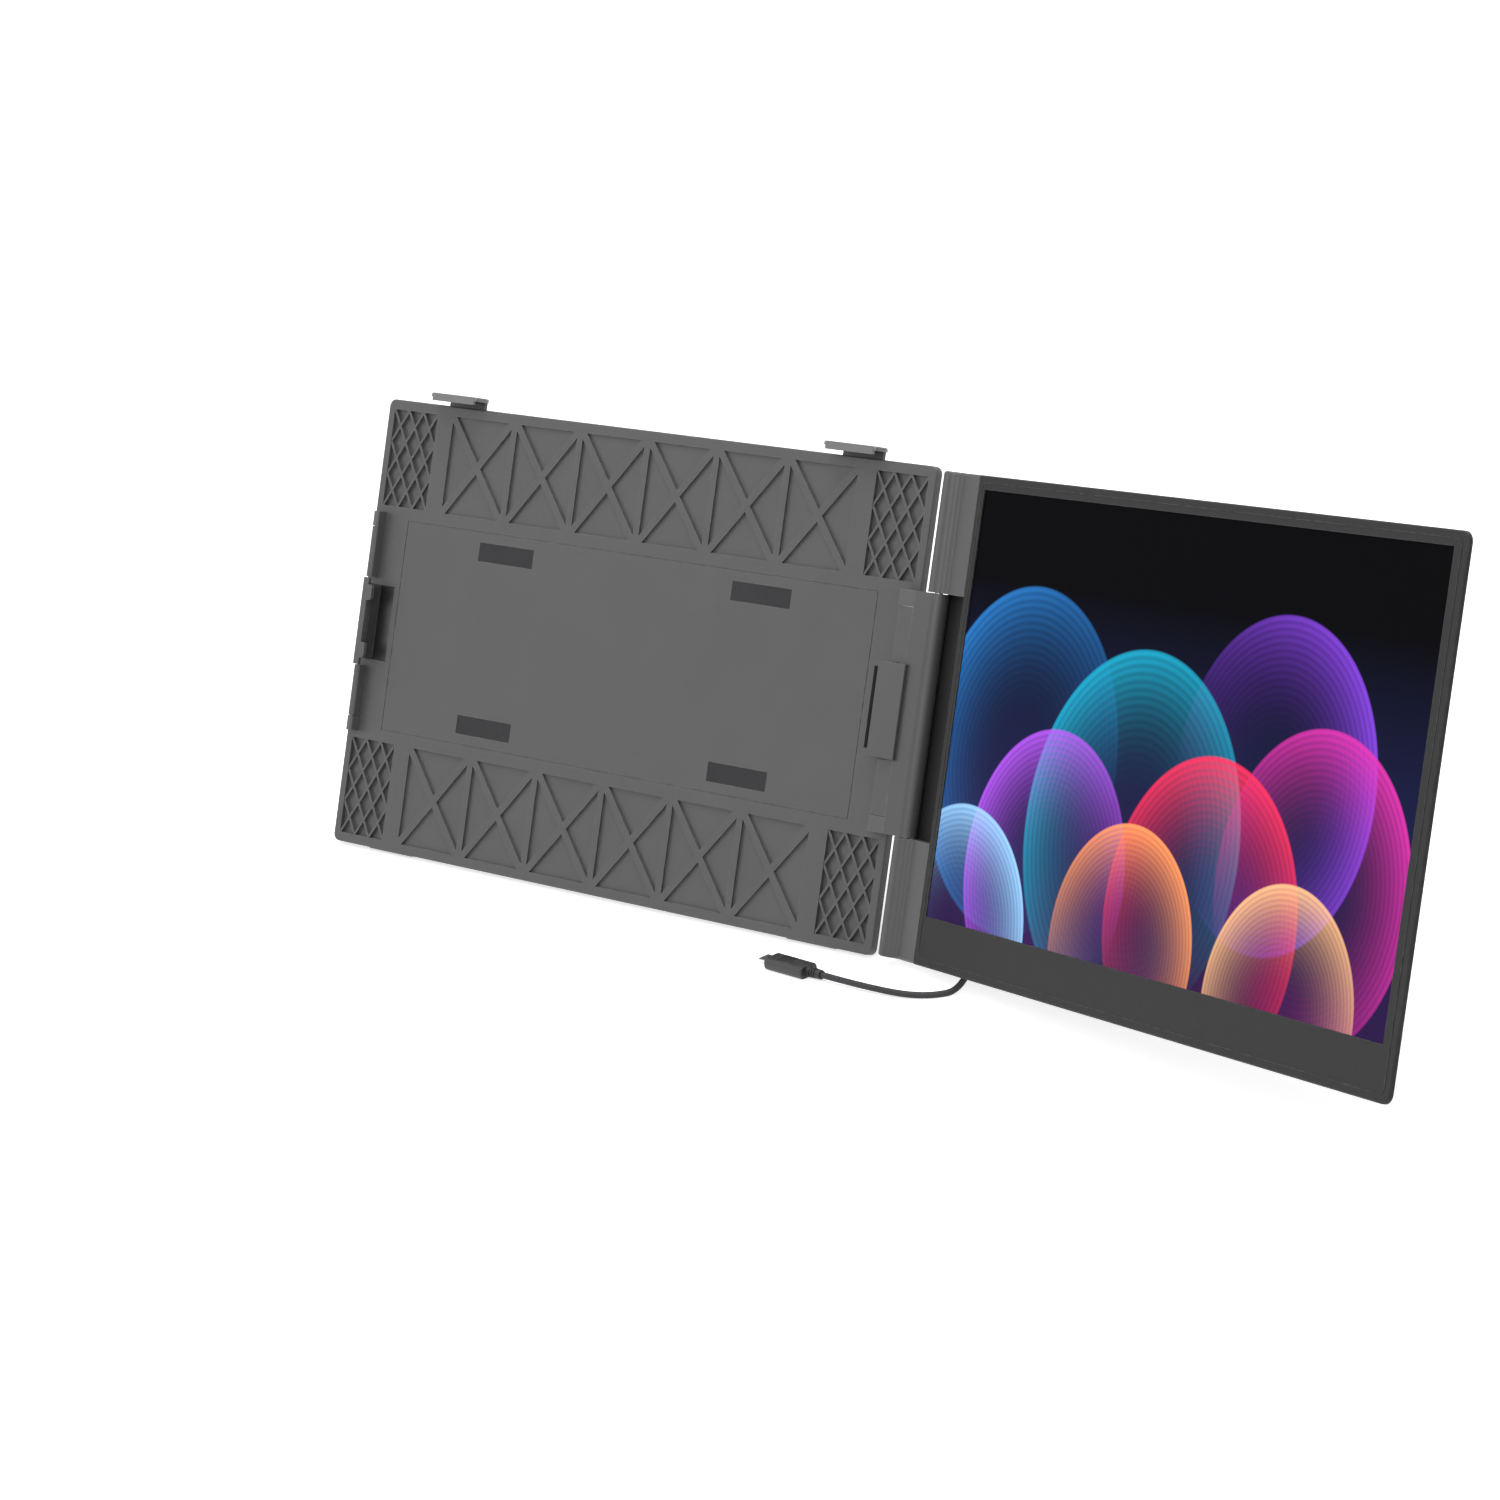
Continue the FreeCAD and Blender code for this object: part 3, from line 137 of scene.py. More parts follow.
class Bench:
    """Short helpers round Blender's modelling operators."""

    CORNER_STEPS = 8
    EDGE_SHARE = 0.35
    SMOOTH_ANGLE = math.radians(35.0)

    @staticmethod
    def clear() -> None:
        """Leaves object mode with nothing selected."""
        if bpy.context.object is not None and bpy.context.object.mode != "OBJECT":
            bpy.ops.object.mode_set(mode="OBJECT")
        bpy.ops.object.select_all(action="DESELECT")

    @staticmethod
    def hold(piece: bpy.types.Object) -> None:
        """Makes one piece the only selected and active one."""
        Bench.clear()
        piece.select_set(True)
        bpy.context.view_layer.objects.active = piece

    @staticmethod
    def started(name: str, size: Point = (1.0, 1.0, 1.0)) -> bpy.types.Object:
        """Names and sizes the primitive that was just added.

        Args:
            name: the piece's name.
            size: its size in metres, where the primitive was added at size 1.

        Returns:
            The piece, in object mode, with its size and place in its mesh.
        """
        piece = bpy.context.object
        piece.name = name
        piece.data.name = name
        piece.scale = size
        bpy.ops.object.transform_apply(location=True, rotation=True, scale=True)
        return piece

    @staticmethod
    def plate(name: str, width: float, height: float, at: Tuple[float, float]) -> bpy.types.Object:
        """Adds a flat rectangle in the XY plane of a drawing.

        Args:
            name: the piece's name.
            width: size along X in metres.
            height: size along Y in metres.
            at: the rectangle's centre in metres.

        Returns:
            The new piece.
        """
        Bench.clear()
        bpy.ops.mesh.primitive_plane_add(size=1.0, location=(*at, 0.0))
        return Bench.started(name, (width, height, 1.0))

    @staticmethod
    def pick(piece: bpy.types.Object, mode: str, wanted: Callable[[Vector], bool]) -> None:
        """Opens a piece in edit mode with only the wanted edges or faces selected.

        Args:
            piece: the piece to open.
            mode: EDGE or FACE.
            wanted: the test on the middle of an edge or face.
        """
        Bench.hold(piece)
        bpy.ops.object.mode_set(mode="EDIT")
        bpy.ops.mesh.select_mode(type=mode)
        bpy.ops.mesh.select_all(action="DESELECT")
        mesh = bmesh.from_edit_mesh(piece.data)
        for part in (mesh.edges if mode == "EDGE" else mesh.faces):
            middle = sum((vert.co for vert in part.verts), Vector()) / len(part.verts)
            part.select_set(wanted(middle))
        bmesh.update_edit_mesh(piece.data)

    @staticmethod
    def close() -> None:
        """Goes back to object mode."""
        bpy.ops.object.mode_set(mode="OBJECT")

    @staticmethod
    def finish_modifier(piece: bpy.types.Object, kind: str, **settings: object) -> None:
        """Adds a modifier, sets it and applies it.

        Args:
            piece: the piece to work on.
            kind: Blender's name for the modifier.
            settings: the modifier's own properties.
        """
        Bench.hold(piece)
        modifier = piece.modifiers.new(kind.lower(), kind)
        for key, value in settings.items():
            setattr(modifier, key, value)
        bpy.ops.object.modifier_apply(modifier=modifier.name)

    @staticmethod
    def outline(name: str, size: Tuple[float, float], at: Tuple[float, float], corner: float,
                width: float, height: float) -> bpy.types.Object:
        """Makes a thin raised ring with rounded corners on a drawing.

        Args:
            name: the piece's name.
            size: the ring's outer width and height in metres.
            at: its centre in metres.
            corner: its outer corner radius in metres.
            width: the width of the ring's band in metres.
            height: how far it stands up in metres.

        Returns:
            The ring, in object mode.
        """
        ring = Bench.plate(name, *size, at)
        Bench.pick(ring, "FACE", lambda middle: True)
        bpy.ops.mesh.select_mode(type="VERT")
        bpy.ops.mesh.bevel(offset=corner, segments=Bench.CORNER_STEPS, affect="VERTICES")
        bpy.ops.mesh.select_all(action="SELECT")
        bpy.ops.mesh.select_mode(type="FACE")
        bpy.ops.mesh.inset(thickness=width, depth=0.0)
        bpy.ops.mesh.delete(type="FACE")
        Bench.close()
        Bench.finish_modifier(ring, "SOLIDIFY", thickness=height, offset=1.0)
        Bench.finish_modifier(ring, "BEVEL", width=min(width, height) * Bench.EDGE_SHARE,
                              segments=2, limit_method="ANGLE")
        return ring

    @staticmethod
    def settle(piece: bpy.types.Object, place: Matrix) -> None:
        """Moves a finished piece from its drawing to the row frame, into its mesh.

        Args:
            piece: the piece, made at the drawing's own place.
            place: the drawing's matrix in the row frame.
        """
        Bench.hold(piece)
        piece.matrix_world = place @ piece.matrix_world
        bpy.ops.object.transform_apply(location=True, rotation=True, scale=True)
        bpy.ops.object.shade_smooth_by_angle(angle=Bench.SMOOTH_ANGLE)


# ---- shader nodes ----


class Wiring:
    """One node tree, with short ways to add nodes and to feed their inputs."""

    # Where a Mix node keeps its two colours and the mixed one, which share names with others.
    MIX_COLOURS = (6, 7)
    MIX_RESULT = 2

    def __init__(self, tree: bpy.types.NodeTree) -> None:
        """Takes the tree that the nodes go into."""
        self.tree = tree

    @classmethod
    def material(cls, name: str) -> Tuple["Wiring", bpy.types.Node]:
        """Makes a material with one Principled shader.

        Args:
            name: the material's name.

        Returns:
            The material's wiring and its Principled node.
        """
        material = bpy.data.materials.new(name)
        material.use_nodes = True
        wiring = cls(material.node_tree)
        wiring.tree.nodes.clear()
        shader = wiring.add("BsdfPrincipled")
        wiring.add("OutputMaterial", Surface=shader.outputs[0])
        return wiring, shader

    def feed(self, target: bpy.types.NodeSocket, value: object) -> None:
        """Feeds an input.

        Args:
            target: the input.
            value: a socket, a number, a vector or a colour.
        """
        if isinstance(value, bpy.types.NodeSocket):
            self.tree.links.new(value, target)
        elif target.type == "RGBA":
            target.default_value = (*value, 1.0)
        else:
            target.default_value = value

    def fill(self, node: bpy.types.Node, **inputs: object) -> None:
        """Feeds a node's inputs by their names.

        Args:
            node: the node.
            inputs: what each input gets, with underscores for spaces.
        """
        for key, value in inputs.items():
            self.feed(node.inputs[key.replace("_", " ")], value)

    def add(self, kind: str, **inputs: object) -> bpy.types.Node:
        """Adds a node.

        Args:
            kind: the node's type without its ShaderNode prefix.
            inputs: what each input gets, with underscores for spaces.

        Returns:
            The node.
        """
        node = self.tree.nodes.new("ShaderNode" + kind)
        self.fill(node, **inputs)
        return node

    def effect(self, group: bpy.types.NodeTree, **inputs: object) -> bpy.types.Node:
        """Adds a shared group.

        Args:
            group: the shared group.
            inputs: what each input gets, with underscores for spaces.

        Returns:
            The group node.
        """
        node = self.add("Group")
        node.node_tree = group
        self.fill(node, **inputs)
        return node

    def vectors(self, operation: str, *values: object) -> bpy.types.Node:
        """Adds a Vector Math node.

        Args:
            operation: Blender's name for the operation.
            values: a socket or a vector for each input.

        Returns:
            The node.
        """
        node = self.add("VectorMath")
        node.operation = operation
        for target, value in zip(node.inputs, values):
            self.feed(target, value)
        return node

    def math(self, operation: str, *values: object, clamp: bool = False) -> bpy.types.NodeSocket:
        """Adds a Math node.

        Args:
            operation: Blender's name for the operation.
            values: a socket or a number for each input.
            clamp: whether the result is kept from 0 to 1.

        Returns:
            The result's socket.
        """
        node = self.add("Math")
        node.operation = operation
        node.use_clamp = clamp
        for target, value in zip(node.inputs, values):
            self.feed(target, value)
        return node.outputs[0]

    def above(self, high: object, low: object, gain: object) -> bpy.types.NodeSocket:
        """Makes a mask from how far one value is above another.

        Args:
            high: the value, a socket or a number.
            low: what it is compared with, a socket or a number.
            gain: how fast the mask rises with the difference.

        Returns:
            The mask's socket, kept from 0 to 1.
        """
        return self.math("MULTIPLY", self.math("SUBTRACT", high, low), gain, clamp=True)

    def place(self) -> bpy.types.NodeSocket:
        """Adds the Object coordinates, which are the row frame's own."""
        return self.add("TexCoord").outputs["Object"]

    def noise(self, place: bpy.types.NodeSocket, scale: object, detail: float,
              rough: float = 0.5, warp: float = 0.0) -> bpy.types.NodeSocket:
        """Adds a Noise node.

        Args:
            place: the coordinates that it reads.
            scale: a socket or a number, in cells per unit of the coordinates.
            detail: how many finer layers it has.
            rough: how strong the finer layers are.
            warp: how far it is distorted.

        Returns:
            The noise's socket, from 0 to 1.
        """
        return self.add("TexNoise", Vector=place, Scale=scale, Detail=detail, Roughness=rough,
                        Distortion=warp).outputs["Fac"]

    def blend(self, share: bpy.types.NodeSocket, first: object, second: object
              ) -> bpy.types.NodeSocket:
        """Mixes two colours by a mask.

        Args:
            share: the mask.
            first: the colour at 0, or its socket.
            second: the colour at 1, or its socket.

        Returns:
            The mixed colour's socket.
        """
        node = self.add("Mix")
        node.data_type = "RGBA"
        self.feed(node.inputs["Factor"], share)
        for index, value in zip(self.MIX_COLOURS, (first, second)):
            self.feed(node.inputs[index], value)
        return node.outputs[self.MIX_RESULT]

    def span(self, value: bpy.types.NodeSocket, low: float, high: float) -> bpy.types.NodeSocket:
        """Maps a 0 to 1 mask to a range.

        Args:
            value: the mask.
            low: result at 0.
            high: result at 1.

        Returns:
            The mapped value's socket.
        """
        return self.add("MapRange", Value=value, To_Min=low, To_Max=high).outputs["Result"]

    def bump(self, height: bpy.types.NodeSocket, strength: float) -> bpy.types.NodeSocket:
        """Turns a height in metres into a normal.

        Args:
            height: the height's socket.
            strength: how much of the bump shows.

        Returns:
            The normal's socket.
        """
        return self.add("Bump", Strength=strength, Distance=1.0, Height=height).outputs[0]


class EffectLibrary:
    """Shader node groups that several finishes share, each built once."""

    # Noise is given as scale, detail and roughness; a break as where its mask starts and its gain.
    PEBBLE_TO_NOISE = 0.62
    NOISE_SHARE = 0.6
    PEBBLE_SHARE = 0.55
    EDGE_RADIUS = 0.0007
    WEAR_NOISE = (240.0, 4.0)
    WEAR_BREAK = (0.35, 2.4)
    DUST_NOISE = (420.0, 6.0, 0.75)
    DUST_BREAK = (0.46, 5.0)
    DUST_SLOPE = (0.45, 1.8)
    LINE_STRETCH = (0.02, 1.0, 1.0)
    DISC_EDGE = 90.0
    DISC_TILT = 0.55
    RIPPLES = 150.0
    RIPPLE_DEPTH = 0.14

    def __init__(self) -> None:
        """Builds every group."""
        self.grain = self._moulded_grain()
        self.tone = self._slow_tone()
        self.wear = self._edge_wear()
        self.dust = self._settled_dust()
        self.lines = self._drawn_lines()
        self.disc = self._glow_disc()

    @staticmethod
    def _group(name: str, inputs: Dict[str, float], outputs: Sequence[str], place: str = ""
               ) -> Tuple[Wiring, bpy.types.Node, bpy.types.Node]:
        """Starts a shader node group.

        Args:
            name: the group's name.
            inputs: name and default of each number that goes in.
            outputs: name of each number that comes out.
            place: name of an input for coordinates, if it has one.

        Returns:
            The group's wiring, its input node and its output node.
        """
        tree = bpy.data.node_groups.new(name, "ShaderNodeTree")
        if place:
            tree.interface.new_socket(place, in_out="INPUT", socket_type="NodeSocketVector")
        for label, value in inputs.items():
            socket = tree.interface.new_socket(label, in_out="INPUT", socket_type="NodeSocketFloat")
            socket.default_value = value
        for label in outputs:
            tree.interface.new_socket(label, in_out="OUTPUT", socket_type="NodeSocketFloat")
        return Wiring(tree), tree.nodes.new("NodeGroupInput"), tree.nodes.new("NodeGroupOutput")

    @classmethod
    def _moulded_grain(cls) -> bpy.types.NodeTree:
        """Fine pebble grain of a mould: a height in metres and a 0 to 1 mask."""
        wiring, start, end = cls._group(
            "moulded_grain", {"Scale": 1500.0, "Depth": 0.00003}, ("Height", "Mask"))
        scale = start.outputs["Scale"]
        place = wiring.place()
        fine = wiring.noise(place, scale, 3.0, 0.6)
        pebble = wiring.add("TexVoronoi", Vector=place,
                            Scale=wiring.math("MULTIPLY", scale, cls.PEBBLE_TO_NOISE))
        pebble.feature = "SMOOTH_F1"
        fine = wiring.math("MULTIPLY", fine, cls.NOISE_SHARE)
        coarse = wiring.math("MULTIPLY", pebble.outputs["Distance"], cls.PEBBLE_SHARE)
        mixed = wiring.math("ADD", fine, coarse, clamp=True)
        wiring.fill(end, Mask=mixed, Height=wiring.math("MULTIPLY", mixed, start.outputs["Depth"]))
        return wiring.tree

    @classmethod
    def _slow_tone(cls) -> bpy.types.NodeTree:
        """Slow change of tone over a part, as moulding flow and handling leave it."""
        wiring, start, end = cls._group("slow_tone", {"Scale": 30.0, "Contrast": 1.6}, ("Mask",))
        noise = wiring.noise(wiring.place(), start.outputs["Scale"], 5.0, 0.55, 0.35)
        centred = wiring.math("SUBTRACT", noise, 0.5)
        raised = wiring.math("MULTIPLY", centred, start.outputs["Contrast"])
        wiring.fill(end, Mask=wiring.math("ADD", raised, 0.5, clamp=True))
        return wiring.tree

    @classmethod
    def _edge_wear(cls) -> bpy.types.NodeTree:
        """Mask of rubbed edges: where a rounded normal leaves the true one, broken up by noise."""
        wiring, start, end = cls._group("edge_wear", {"Spread": 6.0}, ("Mask",))
        rounded = wiring.add("Bevel", Radius=cls.EDGE_RADIUS)
        rounded.samples = 4
        true = wiring.add("NewGeometry")
        dot = wiring.vectors("DOT_PRODUCT", rounded.outputs["Normal"], true.outputs["Normal"])
        edge = wiring.above(1.0, dot.outputs["Value"], start.outputs["Spread"])
        broken = wiring.above(wiring.noise(wiring.place(), *cls.WEAR_NOISE), *cls.WEAR_BREAK)
        wiring.fill(end, Mask=wiring.math("MULTIPLY", edge, broken, clamp=True))
        return wiring.tree

    @classmethod
    def _settled_dust(cls) -> bpy.types.NodeTree:
        """Mask of fine dust that lies on faces that look up."""
        wiring, start, end = cls._group("settled_dust", {"Amount": 0.5}, ("Mask",))
        split = wiring.add("SeparateXYZ", Vector=wiring.add("NewGeometry").outputs["Normal"])
        level = wiring.above(split.outputs["Z"], *cls.DUST_SLOPE)
        specks = wiring.above(wiring.noise(wiring.place(), *cls.DUST_NOISE), *cls.DUST_BREAK)
        laid = wiring.math("MULTIPLY", level, specks)
        laid = wiring.math("MULTIPLY", laid, start.outputs["Amount"], clamp=True)
        wiring.fill(end, Mask=laid)
        return wiring.tree

    @classmethod
    def _drawn_lines(cls) -> bpy.types.NodeTree:
        """Fine parallel lines of rolled or ground metal along X."""
        wiring, start, end = cls._group(
            "drawn_lines", {"Scale": 2200.0, "Depth": 0.00001}, ("Height", "Mask"))
        stretched = wiring.add("Mapping", Vector=wiring.place(), Scale=cls.LINE_STRETCH)
        lines = wiring.noise(stretched.outputs["Vector"], start.outputs["Scale"], 4.0)
        wiring.fill(end, Mask=lines, Height=wiring.math("MULTIPLY", lines, start.outputs["Depth"]))
        return wiring.tree

    @classmethod
    def _glow_disc(cls) -> bpy.types.NodeTree:
        """A soft disc with fine rings that glows towards its rim, on a drawing with X and Y."""
        wiring, start, end = cls._group(
            "glow_disc", {"Middle X": 0.0, "Middle Y": 0.0, "Radius": 0.3, "Falloff": 4.0,
                          "Tilt": 0.0}, ("Mask",), "Place")
        given = start.outputs
        middle = wiring.add("CombineXYZ", X=given["Middle X"], Y=given["Middle Y"])
        offset = wiring.vectors("SUBTRACT", given["Place"], middle.outputs[0]).outputs[0]
        length = wiring.vectors("LENGTH", offset).outputs["Value"]
        share = wiring.math("DIVIDE", length, given["Radius"])
        rise = wiring.math("POWER", share, given["Falloff"])
        inside = wiring.above(1.0, share, cls.DISC_EDGE)
        split = wiring.add("SeparateXYZ", Vector=offset)
        along = [wiring.math("MULTIPLY", split.outputs[axis], wiring.math(turn, given["Tilt"]))
                 for axis, turn in (("X", "COSINE"), ("Y", "SINE"))]
        reach = wiring.math("DIVIDE", wiring.math("ADD", *along), given["Radius"])
        lit = wiring.math("MULTIPLY", reach, cls.DISC_TILT)
        lit = wiring.math("ADD", lit, 0.5, clamp=True)
        wave = wiring.math("SINE", wiring.math("MULTIPLY", share, cls.RIPPLES))
        wave = wiring.math("MULTIPLY", wave, cls.RIPPLE_DEPTH)
        rings = wiring.math("ADD", wave, 1.0 - cls.RIPPLE_DEPTH)
        body = wiring.math("MULTIPLY", wiring.math("MULTIPLY", rise, inside), rings)
        wiring.fill(end, Mask=wiring.math("MULTIPLY", body, lit, clamp=True))
        return wiring.tree


# ---- finishes ----


@dataclass(frozen=True)
class MouldedFinish:
    """Moulded plastic or painted sheet with grain, slow tone, rubbed edges and dust."""

    DUST_COLOUR: ClassVar[Colour] = (0.42, 0.41, 0.39)
    CONTRAST: ClassVar[float] = 1.8
    COAT_ROUGH: ClassVar[float] = 0.12
    BUMP: ClassVar[float] = 0.8

    name: str
    colour: Colour
    second: Colour
    worn: Colour
    rough: Tuple[float, float] = (0.42, 0.56)
    grain: Grain = Grain.SATIN
    shine: float = 0.5
    wear: float = 5.0
    dust: float = 0.12
    tone_scale: float = 26.0
    coat: float = 0.0

    def make(self, effects: EffectLibrary) -> bpy.types.Material:
        """Builds the material.

        Args:
            effects: the shared shader groups.

        Returns:
            The material.
        """
        wiring, shader = Wiring.material(self.name)
        scale, depth = self.grain.value
        grain = wiring.effect(effects.grain, Scale=scale, Depth=depth)
        tone = wiring.effect(effects.tone, Scale=self.tone_scale, Contrast=self.CONTRAST)
        wear = wiring.effect(effects.wear, Spread=self.wear)
        dust = wiring.effect(effects.dust, Amount=self.dust)
        base = wiring.blend(tone.outputs["Mask"], self.colour, self.second)
        base = wiring.blend(wear.outputs["Mask"], base, self.worn)
        base = wiring.blend(dust.outputs["Mask"], base, self.DUST_COLOUR)
        wiring.fill(shader, Base_Color=base, Specular_IOR_Level=self.shine,
                    Roughness=wiring.span(grain.outputs["Mask"], *self.rough),
                    Coat_Weight=self.coat, Coat_Roughness=self.COAT_ROUGH,
                    Normal=wiring.bump(grain.outputs["Height"], self.BUMP))
        return bpy.data.materials[self.name]


@dataclass(frozen=True)
class MetalFinish:
    """Rolled, turned or plated metal with fine lines and dull patches."""

    TONE_SCALE: ClassVar[float] = 60.0
    CONTRAST: ClassVar[float] = 2.2
    LINE_SCALE: ClassVar[float] = 2200.0
    LINE_DEPTH: ClassVar[float] = 0.00002
    BUMP: ClassVar[float] = 0.7

    name: str
    colour: Colour
    second: Colour
    rough: Tuple[float, float]

    def make(self, effects: EffectLibrary) -> bpy.types.Material:
        """Builds the material.

        Args:
            effects: the shared shader groups.

        Returns:
            The material.
        """
        wiring, shader = Wiring.material(self.name)
        lines = wiring.effect(effects.lines, Scale=self.LINE_SCALE, Depth=self.LINE_DEPTH)
        tone = wiring.effect(effects.tone, Scale=self.TONE_SCALE, Contrast=self.CONTRAST)
        wiring.fill(shader, Metallic=1.0,
                    Base_Color=wiring.blend(tone.outputs["Mask"], self.colour, self.second),
                    Roughness=wiring.span(lines.outputs["Mask"], *self.rough),
                    Normal=wiring.bump(lines.outputs["Height"], self.BUMP))
        return bpy.data.materials[self.name]


@dataclass(frozen=True)
class GlowSpot:
    """One soft disc of the lit picture, in the picture's own heights from its lower left."""

    middle: Tuple[float, float]
    radius: float
    colour: Colour
    tilt: float
    falloff: float


@dataclass(frozen=True)
class DisplayFinish:
    """A lit display behind satin glass, with overlapping soft discs on a dark ground."""

    name: str
    spots: Tuple[GlowSpot, ...]
    corner: Point = (28.8, 0.5, -94.3)
    height: float = 206.4
    strength: float = 1.6
    low: Colour = (0.022, 0.008, 0.055)
    middle: Tuple[float, Colour] = (0.42, (0.008, 0.010, 0.045))
    top: Tuple[float, Colour] = (0.80, (0.0002, 0.0003, 0.0005))
    dimmed: Colour = (0.0002, 0.0002, 0.002)
    dim_scale: float = 1.1
    dim_most: float = 0.35
    glass: Colour = (0.0015, 0.0015, 0.002)
    shine: float = 0.01
    smear_scale: float = 18.0
    smear_contrast: float = 1.4
    rough: Tuple[float, float] = (0.22, 0.34)

    def _drawing(self, wiring: Wiring) -> Tuple[bpy.types.NodeSocket, bpy.types.NodeSocket]:
        """Makes the picture's own coordinates, in heights of the picture from its lower left.

        Args:
            wiring: the material's wiring.

        Returns:
            The coordinates, and the height alone.
        """
        matrix = Places.screen()
        corner = matrix @ (Vector(self.corner) * MM)
        offset = wiring.vectors("SUBTRACT", wiring.place(), corner).outputs[0]
        right, up = (matrix.to_3x3() @ Vector(axis) / (self.height * MM)
                     for axis in ((1, 0, 0), (0, 0, 1)))
        across, rise = (wiring.vectors("DOT_PRODUCT", offset, axis).outputs["Value"]
                        for axis in (right, up))
        return wiring.add("CombineXYZ", X=across, Y=rise).outputs[0], rise

    def _ground(self, wiring: Wiring, rise: bpy.types.NodeSocket) -> bpy.types.NodeSocket:
        """Makes the picture's dark ground, which fades upwards.

        Args:
            wiring: the material's wiring.
            rise: the height in the picture.

        Returns:
            The ground's colour.
        """
        ramp = wiring.add("ValToRGB", Fac=wiring.span(rise, 0.0, 1.0))
        stops = ramp.color_ramp.elements
        stops[0].color = (*self.low, 1.0)
        stops[1].position = self.top[0]
        stops[1].color = (*self.top[1], 1.0)
        stops.new(self.middle[0]).color = (*self.middle[1], 1.0)
        return ramp.outputs["Color"]

    def make(self, effects: EffectLibrary) -> bpy.types.Material:
        """Builds the material.

        Args:
            effects: the shared shader groups.

        Returns:
            The material.
        """
        wiring, shader = Wiring.material(self.name)
        drawing, rise = self._drawing(wiring)
        picture = self._ground(wiring, rise)
        for spot in self.spots:
            disc = wiring.effect(effects.disc, Place=drawing, Middle_X=spot.middle[0],
                                 Middle_Y=spot.middle[1], Radius=spot.radius,
                                 Falloff=spot.falloff, Tilt=spot.tilt)
            picture = wiring.blend(disc.outputs["Mask"], picture, spot.colour)
        dim = wiring.span(wiring.noise(drawing, self.dim_scale, 1.0), 0.0, self.dim_most)
        smear = wiring.effect(effects.tone, Scale=self.smear_scale, Contrast=self.smear_contrast)
        wiring.fill(shader, Base_Color=self.glass, Specular_IOR_Level=self.shine,
                    Emission_Color=wiring.blend(dim, picture, self.dimmed),
                    Emission_Strength=self.strength,
                    Roughness=wiring.span(smear.outputs["Mask"], *self.rough))
        return bpy.data.materials[self.name]


@dataclass(frozen=True)
class MeshFinish:
    """Punched sheet behind the sound slots: round holes on a square pitch, painted near-black as
    the shade seen through them.
    """

    name: str
    pitch: float = 1.6
    hole: float = 0.42
    sharpness: float = 12.0
    tone_scale: float = 90.0
    contrast: float = 1.5
    rough: float = 0.45
    sheet: Tuple[Colour, Colour] = ((0.10, 0.10, 0.11), (0.14, 0.14, 0.15))
    # Near-black colour of the holes: painted shade, as the holes are not cut.
    depth: Colour = (0.004, 0.004, 0.004)

    def make(self, effects: EffectLibrary) -> bpy.types.Material:
        """Builds the material.

        Args:
            effects: the shared shader groups.

        Returns:
            The material.
        """
        wiring, shader = Wiring.material(self.name)
        cells = wiring.add("TexVoronoi", Vector=wiring.place(), Scale=1.0 / (self.pitch * MM),
                           Randomness=0.0)
        # The holes are painted, not cut: their mask takes the painted shade colour.
        hole = wiring.above(self.hole, cells.outputs["Distance"], self.sharpness)
        tone = wiring.effect(effects.tone, Scale=self.tone_scale, Contrast=self.contrast)
        metal = wiring.blend(tone.outputs["Mask"], *self.sheet)
        wiring.fill(shader, Base_Color=wiring.blend(hole, metal, self.depth),
                    Roughness=self.rough)
        return bpy.data.materials[self.name]


